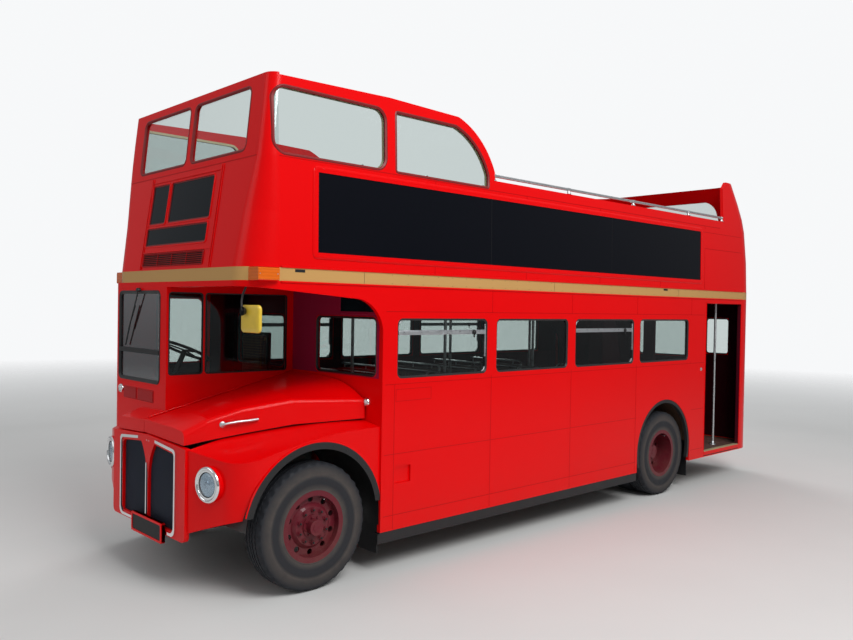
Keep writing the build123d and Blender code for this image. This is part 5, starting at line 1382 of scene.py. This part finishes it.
class BUS_OT_nose(bpy.types.Operator):
    """Makes the lamps, grille trims, bonnet catch and plate of the nose"""

    bl_idname = "bus.nose"
    bl_label = "Nose"

    def execute(self, context):
        """Lamps on both wings, then the grille, the bonnet and the plate."""
        self.headlamps()
        self.grille()
        self.bonnet()
        self.plate()
        self.wings()
        return {"FINISHED"}

    def headlamps(self):
        """A rolled chrome ring, a red shell, a gap in painted shade, a reflector and a domed glass
        each.
        """
        turn = Matrix.Rotation(radians(LAMP_TURN), 3, "Z")
        for name, finish, profile, steps in LAMP_PARTS:
            near = turned(lathe(profile, LAMP, steps, "y"), LAMP, turn)
            piece("headlamp_" + name, both([near]), finish)

    def grille(self):
        """Fine upright wires over the mesh, and screws on the bright frame."""
        wires = []
        for side in (-1, 1):
            for number in range(45):
                off = 0.024 + 0.0100 * number
                top = 0.830 + 0.24 * min(1.0, off / 0.110) - 0.02 * (off > 0.43)
                x = GRILLE_X + side * off
                wires.append(slab(x - 0.0012, x + 0.0012, GRILLE_MESH_Y - 0.002, GRILLE_MESH_Y,
                                  0.464, top))
        piece("grille_wires", wires, "mesh_wire")
        spots = [(side * 0.497, NOSE_Y - 0.014, z) for side in (-1, 1) for z in (0.56, 0.80, 1.02)]
        spots += [(-0.02, NOSE_Y, 1.108), (0.02, NOSE_Y, 1.108)]
        piece("grille_screws", [stud((GRILLE_X + x, y, z), AHEAD, 0.006, 0.002, 10, 0.5)
                                for x, y, z in spots], "polished")

    def bonnet(self):
        """The catch handle on the bonnet's side, its seal and its hinge."""
        path = [on_bonnet_side(*spot) for spot in (
            (-3.852, 1.292, 0.022), (-3.82, 1.300, 0.030), (-3.75, 1.309, 0.030),
            (-3.68, 1.312, 0.026), (-3.62, 1.316, 0.018), (-3.585, 1.318, 0.010))]
        way = (1, -0.28, 0)
        boss = [stud(on_bonnet_side(-3.852, 1.290, -0.002), way, 0.024, 0.012, 20, 0.3),
                stud(on_bonnet_side(-3.852, 1.290, 0.006), way, 0.014, 0.018, 16, 0.3)]
        piece("bonnet_handle", boss + [tube(path, 0.0115, 10)], "polished", "bonnet")
        seal = [on_bonnet_side(y, bonnet_value(y, 2) - 0.003, -0.012)
                for y in (-4.10, -3.96, -3.70, -3.50, -3.30, -3.0, -2.72)]
        piece("bonnet_seal", [tube(seal, 0.006, 8)], "trim_rubber", "bonnet")
        hinge = []
        low, high = HINGE_Z
        for number in range(16):
            y = -4.10 + number * 0.0885
            z = low + (high - low) * (y + 4.132) / 1.43 + 0.003
            hinge.append(tube([(HINGE_X, y, z),
                               (HINGE_X, y + 0.080, z + 0.0801 * 0.344 / 1.43)], 0.0065, 8))
        piece("bonnet_hinge", hinge, "body_red")

    def plate(self):
        """The plate's red box, open ahead, with the blank plate inside."""
        face = on_rear(PLATE_Y)
        levels = ((0.0, 0.036), (0.0, 0.003), (0.003, 0.0), (0.017, 0.0), (0.019, 0.006))
        parts = [lofted(stepped(PLATE, 0.012, levels, face, 4)),
                 plate(round_loop(PLATE, 0.012, 4), face, 0.008, 0.036)]
        piece("plate_box", parts, "body_red", replaces=("number_plate",))
        blank = round_loop(PLATE, 0.008, 4, 0.018)
        piece("blank_plate", [plate(blank, face, 0.0050, 0.0078)], "board_black")
        x0, x1, z0, z1 = PLATE
        piece("plate_bolts", [stud((x, PLATE_Y + 0.005, (z0 + z1) / 2), AHEAD, 0.005, 0.0012, 8)
                              for x in (x0 + 0.045, x1 - 0.045)], "fitting_black")

    def wings(self):
        """A rolled lip round each arch, screws along it and a lining inside."""
        lip = bead(arc(ARCH, 0.648, 11, 155, 36),
                   [(-0.005, 0.0), (-0.004, 0.010), (0.004, 0.010), (0.006, 0.0)],
                   on_flank(1.200), closed=False)
        piece("arch_lips", both([lip]), "body_red")
        line = [(ARCH[0] + ARCH_HOLLOW_R, 0.412)] + arc(ARCH, ARCH_HOLLOW_R, 0, 176, 40)
        piece("arch_linings", both([sheet(line, 0.500, 1.198)]), "fitting_black")
        screws = [stud((1.211, y, z), NEAR, 0.007, 0.003, 8, 0.5)
                  for y, z in arc(ARCH, 0.619, 14, 149, 12)]
        piece("arch_screws", both(screws), "fitting_black")


# Tyres and wheels
TYRE_R = 0.502
TYRE_HALF = 0.115
TYRE_X = 1.061
INNER_TYRE_X = 0.795
BEAD_R = 0.254
TREAD_STEPS = 72
# Where a wheel's fittings are: nut face and ring, bolt face and ring, and the cap's face
FRONT_HUB = (1.1395, 0.128, 1.1505, 0.070, 1.206)
REAR_HUB = (0.9435, 0.134, 1.0105, 0.094, 1.060)
# Each tyre: name, side, middle x, axle y and body
TYRES = [("front_near", 1, TYRE_X, FRONT_AXLE_Y, "front_wheel_near"),
         ("front_off", -1, TYRE_X, FRONT_AXLE_Y, "front_wheel_off"),
         ("rear_near", 1, TYRE_X, REAR_AXLE_Y, "rear_wheels_near"),
         ("rear_off", -1, TYRE_X, REAR_AXLE_Y, "rear_wheels_off"),
         ("rear_inner_near", 1, INNER_TYRE_X, REAR_AXLE_Y, "rear_wheels_near"),
         ("rear_inner_off", -1, INNER_TYRE_X, REAR_AXLE_Y, "rear_wheels_off")]


def tyre_profile(groove):
    """Across a tyre from bead to bead: its walls, shoulders, ribs and grooves."""
    half, deep = TYRE_HALF, TYRE_R - groove
    wall = [(-0.080, BEAD_R), (-0.096, 0.262), (-0.105, 0.282), (-0.1055, 0.290),
            (-0.1035, 0.294), (-0.109, 0.330), (-0.114, 0.372), (-0.1143, 0.384),
            (-0.1128, 0.388), (-half, 0.404), (-0.1145, 0.432), (-0.1135, 0.436),
            (-0.1120, 0.462), (-0.108, 0.482), (-0.100, 0.494)]
    tread = [(-0.088, 0.4985), (-0.066, 0.5002), (-0.064, deep), (-0.054, deep),
             (-0.052, 0.5008), (-0.024, TYRE_R - 0.0006), (-0.022, deep), (-0.010, deep),
             (-0.008, TYRE_R - 0.0002)]
    first = wall + tread
    return first + [(-a, r) for a, r in reversed(first)]


def tyre_form(side, x, y, groove):
    """A tyre with wavy grooves and notches at its shoulders."""
    profile = tyre_profile(groove)
    shoulder = {14, 15, len(profile) - 15, len(profile) - 16}

    def shift(number, step):
        """Moves a tread groove from side to side along the tyre."""
        inside = 17 <= number <= len(profile) - 18
        return (0.004 if step % 2 else -0.004) if inside else 0.0

    points, faces = lathe(profile, (side * x, y, AXLE_Z), TREAD_STEPS * 2, "x", shift)
    count = len(profile)
    notched = []
    for index, point in enumerate(points):
        step, number = divmod(index, count)
        if number in shoulder and step % 4 < 2:
            middle = Vector((point[0], y, AXLE_Z))
            way = Vector(point) - middle
            point = tuple(middle + way * (1 - 0.010 / way.length))
        notched.append(point)
    return notched, faces


class BUS_OT_tyres(bpy.types.Operator):
    """Makes the tyres and the nuts and hub bolts of the wheels"""

    bl_idname = "bus.tyres"
    bl_label = "Wheels"

    def execute(self, context):
        """Six tyres with tread, then the fine parts of the four wheels seen."""
        sizes = context.scene.bus_sizes
        for name, side, x, y, body in TYRES:
            node = body.replace("wheels", "tyres").replace("wheel", "tyre")
            finish = "front_tyre" if "front" in name else "rear_tyre"
            piece("tyre_" + name, [tyre_form(side, x, y, sizes.groove)], finish, body,
                  replaces=(node,), smooth=32)
            if "inner" not in name:
                self.fittings(name, side, y, body, sizes.nuts)
        return {"FINISHED"}

    def ring(self, x, y, radius, count, first):
        """Spots round an axle, the first one a share of a step from level."""
        turns = [2 * pi * (number + first) / count for number in range(count)]
        return [(x, y + radius * cos(turn), AXLE_Z + radius * sin(turn)) for turn in turns]

    def fittings(self, name, side, y, body, count):
        """Wheel nuts with studs, hub bolts, the rim's ring and the valve."""
        face, ring, bolt_face, bolt_ring, cap = FRONT_HUB if "front" in name else REAR_HUB
        way = (side, 0, 0)
        nuts, studs = [], []
        for spot in self.ring(side * (face - 0.004), y, ring, count, 0.5):
            nuts += [stud(spot, way, 0.0165, 0.022, 6), stud(spot, way, 0.0205, 0.007, 18)]
            studs.append(stud((side * (face + 0.018),) + spot[1:], way, 0.0085, 0.014, 10, 0.3))
        bolts = [stud(spot, way, 0.0085, 0.009, 6)
                 for spot in self.ring(side * bolt_face, y, bolt_ring + 0.004, 8, 0.25)]
        bolts.append(lathe([(0.0, 0.034), (0.004 * side, 0.033), (0.005 * side, 0.024),
                            (0.003 * side, 0.001)], (side * (cap - 0.0015), y, AXLE_Z), 28))
        rim = lathe([(side * 0.099, 0.2885), (side * 0.1035, 0.2865), (side * 0.1035, 0.2800),
                     (side * 0.099, 0.2775)], (side * TYRE_X, y, AXLE_Z), 72)
        turn = radians(62)
        stem = [(side * x, y + radius * cos(turn), AXLE_Z + radius * sin(turn))
                for x, radius in ((1.085, 0.236), (1.150, 0.222))]
        piece("wheel_nuts_" + name, nuts, "wheel_maroon", body, smooth=0)
        piece("wheel_studs_" + name, studs, "fitting_black", body, smooth=30)
        piece("hub_bolts_" + name, bolts, "wheel_maroon", body)
        piece("rim_ring_" + name, [rim], "wheel_maroon", body)
        piece("valve_" + name, [tube(stem, 0.0045, 8)], "polished", body)


# Upper deck, platform and rear
SCREEN_LEVEL = 3.330
INNER_WALL = -0.0405
VENT = (-0.570, 0.490, 2.545, 2.640)
RAIL_FEET_Y = (-1.325, -0.161, 1.060, 2.309, 3.184)
REAR_Y = 4.190
REAR_CORNER = 0.397
PLATFORM_Z = 0.413
FRONT_BEAD_X = 0.614
# The rear arch's ring and its lining: centre and radius
REAR_ARCH_RING = ((1.790, 0.560), 0.590)
REAR_ARCH_HOLLOW = ((REAR_AXLE_Y, 0.560), 0.5935)
POLES = [(-0.320, -1.800), (0.320, -1.080), (-0.320, -0.360), (0.320, 0.360), (-0.320, 1.080),
         (0.320, 2.440)]


def upper_strip(y0, y1, z0, z1, out=0.0012):
    """A flat strip that follows the leaning side of the upper deck."""
    place = on_upper_side(1)
    return lofted([[place(y0 + (y1 - y0) * part, z, off) for z, off in
                    ((z0, 0.0), (z0, out), (z1, out), (z1, 0.0))] for part in (0, 0.5, 1)],
                  capped=True)


def front_strip(x0, x1, z0, z1, out=0.0012):
    """A flat strip on the leaning front of the upper deck."""
    levels = [z0] + [row[0] for row in UPPER_LEVELS if z0 < row[0] < z1] + [z1]
    rings = [[on_upper_front(x, z, off) for x, off in
              ((x0, 0.0), (x1, 0.0), (x1, out), (x0, out))] for z in levels]
    return lofted(rings, capped=True)


class BUS_OT_upper(bpy.types.Operator):
    """Makes the beads, seams, blinds' frames and screen rubbers of the upper deck"""

    bl_idname = "bus.upper"
    bl_label = "Upper deck"

    def execute(self, context):
        """Front first, then the sides and the deck rails."""
        self.seams()
        self.front_beads()
        self.screens()
        self.vent()
        self.boards()
        self.rivets()
        self.rails()
        return {"FINISHED"}

    def seams(self):
        """Joints of the front and side panels."""
        joint = upper_strip(-3.71, 3.10, 3.326, 3.333, 0.0014)
        seams = [front_strip(-1.09, 1.09, SCREEN_LEVEL - 0.004, SCREEN_LEVEL + 0.004, 0.0014),
                 mirrored(joint), joint]
        seams += [front_strip(x - 0.003, x + 0.003, 2.512, 3.322, 0.0014)
                  for x in (-FRONT_BEAD_X, FRONT_BEAD_X)]
        for y in (-2.106, -0.862, 0.382, 1.626, 2.70):
            seams += [upper_strip(y - 0.0025, y + 0.0025, z0, z1)
                      for z0, z1 in ((2.512, 2.590), (3.292, 3.326))]
        rear = [upper_strip(2.697, 2.703, 2.512, 3.040), upper_strip(2.70, 3.72, 3.037, 3.043),
                upper_strip(2.62, 3.72, 3.247, 3.252)]
        piece("upper_seams", seams + both(rear), "seam")

    def front_beads(self):
        """Upright beads on the front, and a frame round each blind."""
        beads = [front_strip(x + off - 0.004, x + off + 0.004, 2.512, 3.322, 0.006)
                 for x in (-FRONT_BEAD_X, FRONT_BEAD_X) for off in (-0.013, 0.013)]
        beads += [bead(round_loop(box, 0.022, 5), [(0.0, 0.0), (0.001, 0.007), (0.009, 0.007),
                                                   (0.012, 0.0)], on_upper_front)
                  for box in BLINDS]
        beads += [front_strip(-0.600, 0.600, z, z + 0.009, 0.007) for z in (3.275, 2.655)]
        piece("front_beads", beads, "body_red", bevel=0.0015)

    def screens(self):
        """Rubbers and cream frames of the screens, and the glass at the front corner."""
        place = on_upper_side(1)
        last = self.last_screen()
        seals = [bead(round_loop(box, 0.02, 5, 0.001), [(0.0, 0.0), (-0.010, -0.001),
                                                        (-0.010, -0.006), (0.0, -0.006)],
                      on_upper_front) for box in BLINDS]
        seals += [rubber(box, 0.060, on_upper_front, 0.016, 0.002) for box in FRONT_PANES]
        side_seals = [rubber(SIDE_SCREEN, 0.110, place, 0.016, 0.002, 8),
                      bead(last, seal_section(0.016, 0.002), place)]
        piece("screen_rubbers", seals + both(side_seals), "screen_rubber")
        section = [(0.0, -0.024), (-0.018, -0.028), (-0.018, INNER_WALL - 0.004),
                   (0.004, INNER_WALL - 0.004), (0.004, INNER_WALL)]
        inner = [bead(loop, section, place) for loop in (round_loop(SIDE_SCREEN, 0.110, 8), last)]
        piece("cream_screen_frames", both(inner), "cream")
        corner = [[place(-3.797 + 0.016 * step, z, -0.020)
                   for z in (3.350, 3.480, 3.600, 3.730, 3.856)] for step in range(7)]
        piece("corner_glass", both([lofted(corner, closed=False)]), "clear_glass")

    def last_screen(self):
        """The edge of the last screen, curved down at its rear."""
        y0, y1, z0, z1 = -2.565, -1.412, SIDE_SCREEN[2], SIDE_SCREEN[3]
        loop = [(y0 + 0.025, z0), (y1 - 0.012, z0), (y1, z0 + 0.012)]
        loop += arc((-2.0026, 3.2536), 0.6273, 19.7, 55.5, 12)
        return loop + [(y0 + 0.025, z1), (y0 + 0.007, z1 - 0.007), (y0, z1 - 0.025), (y0, 3.70),
                       (y0, 3.50), (y0, z0 + 0.025), (y0 + 0.007, z0 + 0.007)]

    def vent(self):
        """The slatted vent under the blinds: a strip of painted shade, and slats and frame in a red
        darkened as painted shade.
        """
        x0, x1, z0, z1 = VENT
        # A flat strip of painted shade behind the slats
        piece("vent_dark", [front_strip(*VENT, 0.0005)], "joint_and_shade_dark")
        slats = []
        for number in range(6):
            z = z0 + 0.010 + 0.0160 * number
            slats.append(lofted([[on_upper_front(x, z + up, out) for up, out in
                                  ((-0.002, 0.0005), (-0.003, 0.0060), (0.001, 0.0065),
                                   (0.004, 0.0005))] for x in (x0, x1)], capped=True))
        slats += [front_strip(x - 0.004, x + 0.004, z0, z1, 0.007)
                  for x in (x0, -0.30, -0.04, 0.22, x1)]
        slats.append(bead(round_loop(VENT, 0.008, 3, -0.006),
                          [(-0.006, 0.0), (-0.005, 0.008), (0.004, 0.008), (0.006, 0.0)],
                          on_upper_front))
        # Slats and frame in a red darkened as painted shade
        piece("vent_slats", slats, "vent_shaded_red")

    def boards(self):
        """The blank side boards' frames, their screws and their fine joints."""
        y0, y1, z0, z1 = AD_PANEL
        place = on_upper_side(1)
        loop = dense(round_loop(AD_PANEL, 0.030, 6, -0.028), 0.25)
        frame_bead = bead(loop, [(-0.024, 0.0), (-0.018, 0.0075), (-0.006, 0.0105),
                                 (0.006, 0.0105), (0.018, 0.0075), (0.024, 0.0)], place)
        piece("board_frames", both([frame_bead]), "body_red")
        screws = [stud((level_value(z, 1) + 0.0105, y0 + 0.05 + (y1 - y0 - 0.1) * number / 24, z),
                       NEAR, 0.006, 0.002, 8, 0.5)
                  for number in range(25) for z in (z0 - 0.028, z1 + 0.028)]
        piece("board_screws", both(screws), "body_red")
        section = ((-0.0015, 0.0052), (0.0015, 0.0052), (0.0015, 0.0058), (-0.0015, 0.0058))
        joints = [lofted([[place(y + off, z, out) for off, out in section]
                          for z in (z0 + 0.004, z1 - 0.004)], capped=True)
                  for y in (y0 + 1.98, y0 + 3.96)]
        piece("board_joints", both(joints), "joint_and_shade_dark")

    def rivets(self):
        """Rows of domed rivets beside the front beads and along the screens' joint."""
        rivets = [stud(on_upper_front(x, 2.54 + 0.036 * number, 0.0), AHEAD, 0.004, 0.0016, 6, 0.5)
                  for number in range(22) for x in (-FRONT_BEAD_X - 0.030, FRONT_BEAD_X + 0.030)]
        rivets += [stud(on_upper_front(-1.07 + 2.14 * number / 39, 3.352, 0.0), AHEAD, 0.0042,
                        0.0018, 6, 0.5) for number in range(40)]
        side = [stud(on_upper_side(1)(-3.68 + 0.085 * number, 3.312, 0.0), NEAR, 0.0042,
                     0.0018, 6, 0.5) for number in range(76)]
        piece("upper_rivets", rivets + both(side), "body_red")

    def rails(self):
        """A foot and a collar at each post of the deck rails."""
        feet = []
        for y in RAIL_FEET_Y:
            spot = (1.1826, y, 3.475)
            feet += [lathe([(-0.048, 0.026), (-0.044, 0.028), (-0.040, 0.020), (-0.020, 0.013),
                            (0.0, 0.0125)], spot, 20, "z"),
                     lathe([(-0.020, 0.0155), (-0.018, 0.0185), (0.018, 0.0185),
                            (0.020, 0.0155)], spot, 20, "y")]
        piece("rail_collars", both(feet), "rail_steel")


class BUS_OT_platform(bpy.types.Operator):
    """Makes the platform's edge, the doorway's trims, pole feet and the rear lamps"""

    bl_idname = "bus.platform"
    bl_label = "Platform and rear"

    def execute(self, context):
        """The doorway from the floor up, then the rear."""
        self.platform()
        self.doorway()
        self.feet()
        self.lining()
        self.rear()
        self.arches()
        return {"FINISHED"}

    def platform(self):
        """The platform's worn edge, its red lip and its wooden slats."""
        y0, y1 = DOORWAY_Y
        z = PLATFORM_Z
        edge = [slab(1.160, BODY_HALF - 0.0005, y0 + 0.004, y1 - 0.004, z, z + 0.012),
                slab(BODY_HALF, BODY_HALF + 0.003, y0 + 0.004, y1 - 0.004, z - 0.028, z + 0.010)]
        piece("platform_edge", edge, "tread_cream", bevel=0.002)
        lip = [slab(1.2185, 1.2225, y0, y1, z - 0.040, z + 0.006),
               slab(1.2185, 1.2215, y0 - 0.02, y1 + 0.02, z - 0.062, z - 0.052)]
        piece("platform_lip", lip, "body_red", bevel=0.001)
        slats = [slab(-0.40 + 0.056 * number, -0.362 + 0.056 * number, y0 + 0.03, 4.02, z,
                      z + 0.006) for number in range(28)]
        piece("platform_slats", slats, "slat_wood")

    def doorway(self):
        """Linings on both sides of the doorway and a red bead round it."""
        y0, y1 = DOORWAY_Y
        top = DOORWAY_TOP
        jambs = [slab(1.172, 1.216, a, b, PLATFORM_Z + 0.008, top - 0.004)
                 for a, b in ((y0 - 0.0005, y0 + 0.003), (y1 - 0.003, y1 + 0.0005))]
        piece("doorway_jambs", jambs, "inner_maroon")
        out = BODY_HALF + 0.004
        frame_parts = [slab(BODY_HALF, out, y, y + 0.006, PLATFORM_Z, top + 0.008)
                       for y in (y0 - 0.010, y1 + 0.004)]
        frame_parts += [slab(BODY_HALF, out, y0 - 0.010, y1 + 0.010, top + 0.002, top + 0.008),
                        slab(1.10, BODY_HALF + 0.002, y0, y1, top - 0.004, top - 0.0005)]
        piece("doorway_bead", frame_parts, "body_red", bevel=0.001)

    def feet(self):
        """Flared feet of the poles on the platform and in the gangway, and a latch."""
        feet = [lathe([(0.0065, 0.044), (0.012, 0.042), (0.018, 0.024), (0.050, 0.0195),
                       (0.054, 0.0165)], (x, y, PLATFORM_Z), 28, "z")
                for x, y in ((1.000, 3.435), (1.150, 2.830))]
        feet += [lathe([(0.0005, 0.040), (0.006, 0.038), (0.012, 0.024), (0.040, 0.0195),
                        (0.044, 0.0165)], (x, y, LOWER_FLOOR), 24, "z") for x, y in POLES]
        piece("pole_feet", feet, "polished")
        latch = [stud((BODY_HALF, 2.649, 1.494), NEAR, 0.022, 0.004, 20),
                 stud((BODY_HALF, 2.649, 1.494), NEAR, 0.009, 0.014, 8)]
        piece("side_latch", latch, "polished")

    def lining(self):
        """Panels of painted shade inside the rear of the lower deck, round its corners and windows.
        """
        inner, corner, bend, back = 1.1765, 0.3535, 0.822, 3.793
        plan = [(inner, 3.745)] + arc((bend, back), corner, 0, 90, 12)[:-1]
        plan += [(x, back + corner) for x in (0.843, bend, 0.66, 0.475, 0.305, 0.0, -0.3, -0.645)]
        plan += arc((-bend, back), corner, 90, 90, 12) + [(-inner, 2.80)]
        low, high = 1.555, 2.145
        strips = [(plan, PLATFORM_Z + 0.01, low), (plan, high, 2.390)]
        strips += [([spot for spot in plan if first <= spot[0] <= last], z0, z1)
                   for first, last, z0, z1 in (
                       (0.842, 9.0, low, high), (0.304, 0.476, low, high),
                       (-9.0, -0.644, low, high), (0.474, 0.844, low, 1.612),
                       (-0.646, 0.306, 2.122, high))]
        parts = [lofted([[(x, y, z) for x, y in line] for z in (z0, z1)], closed=False)
                 for line, z0, z1 in strips]
        piece("rear_shade_lining", parts, "inner_painted_shade")

    def rear(self):
        """The rubbers of the two rear windows, and the lamps on both sides."""
        seals = [rubber((-0.633, 0.293, 1.567, 2.113), 0.045, on_rear(REAR_Y), 0.012, -0.002),
                 rubber((0.487, 0.833, 1.621, 2.134), 0.045, self.on_corner, 0.012, -0.002)]
        piece("rear_rubbers", seals, "trim_rubber")
        rings = []
        lenses = {"red": [], "amber": []}
        for x in (-0.905, 0.905):
            for z, kind in ((0.760, "red"), (0.890, "amber")):
                spot = (x, self.on_corner(x, z, 0.0)[1], z)
                rings.append(lathe([(-0.014, 0.046), (-0.001, 0.046), (0.003, 0.041),
                                    (0.001, 0.036), (-0.014, 0.036)], spot, 32, "y"))
                lenses[kind].append(lathe([(-0.008, 0.036), (0.0005, 0.032), (0.003, 0.018),
                                           (0.0035, 0.001)], spot, 28, "y"))
        piece("rear_lamp_rings", rings, "bright_chrome")
        piece("rear_lamps", lenses["red"], "red_lens")
        piece("rear_indicators", lenses["amber"], "amber_plastic")

    def on_corner(self, x, z, out):
        """The lower rear, round its corner, kept inside the rear face."""
        past = abs(x) - (BODY_HALF - REAR_CORNER)
        if past <= 0:
            return (x, REAR_Y + min(out, 0.0), z)
        turn = asin(min(1.0, past / REAR_CORNER))
        side = -1 if x < 0 else 1
        reach = REAR_CORNER + out
        return (side * (BODY_HALF - REAR_CORNER + reach * sin(turn)),
                REAR_Y - REAR_CORNER + reach * cos(turn), z)

    def arches(self):
        """A black ring inside each rear arch, and the arch's lining."""
        ring = bead(arc(*REAR_ARCH_RING, -16, 212, 32), [(0.008, 0.036), (-0.030, 0.036),
                                                         (-0.034, 0.0), (0.008, 0.0)],
                    on_flank(1.180), closed=False)
        piece("rear_arch_rings", both([ring]), "trim_rubber")
        (y, z), radius = REAR_ARCH_HOLLOW
        line = [(y + radius, 0.420)] + arc((y, z), radius, 0, 180, 40) + [(y - radius, 0.420)]
        piece("rear_arch_linings", both([sheet(line, 0.700, 1.178)]), "fitting_black")


class BUS_PT_panel(bpy.types.Panel):
    """Sizes, colours and steps of the bus"""

    bl_idname = "BUS_PT_panel"
    bl_label = "Open top bus"
    bl_space_type = "VIEW_3D"
    bl_region_type = "UI"
    bl_category = "Bus"

    def draw(self, context):
        """Lists the colours, the sizes and the steps."""
        for group in (context.scene.bus_colours, context.scene.bus_sizes):
            for key in group.bl_rna.properties.keys():
                if key not in ("rna_type", "name"):
                    self.layout.prop(group, key)
        for operator in OPERATORS:
            self.layout.operator(operator.bl_idname)


OPERATORS = (
    BUS_OT_finishes,
    BUS_OT_panels,
    BUS_OT_side_windows,
    BUS_OT_lining,
    BUS_OT_seats,
    BUS_OT_cab,
    BUS_OT_nose,
    BUS_OT_tyres,
    BUS_OT_upper,
    BUS_OT_platform,
    BUS_OT_stage,
)
CLASSES = (BusColours, BusSizes, *OPERATORS, BUS_PT_panel)


def register():
    """Makes the classes known to Blender."""
    for item in CLASSES:
        bpy.utils.register_class(item)
    bpy.types.Scene.bus_colours = PointerProperty(type=BusColours)
    bpy.types.Scene.bus_sizes = PointerProperty(type=BusSizes)


def unregister():
    """Takes the classes away again."""
    del bpy.types.Scene.bus_sizes
    del bpy.types.Scene.bus_colours
    for item in reversed(CLASSES):
        bpy.utils.unregister_class(item)


def main():
    """Builds everything."""
    register()
    for operator in OPERATORS:
        family, name = operator.bl_idname.split(".")
        getattr(getattr(bpy.ops, family), name)()


if __name__ == "__main__":
    main()
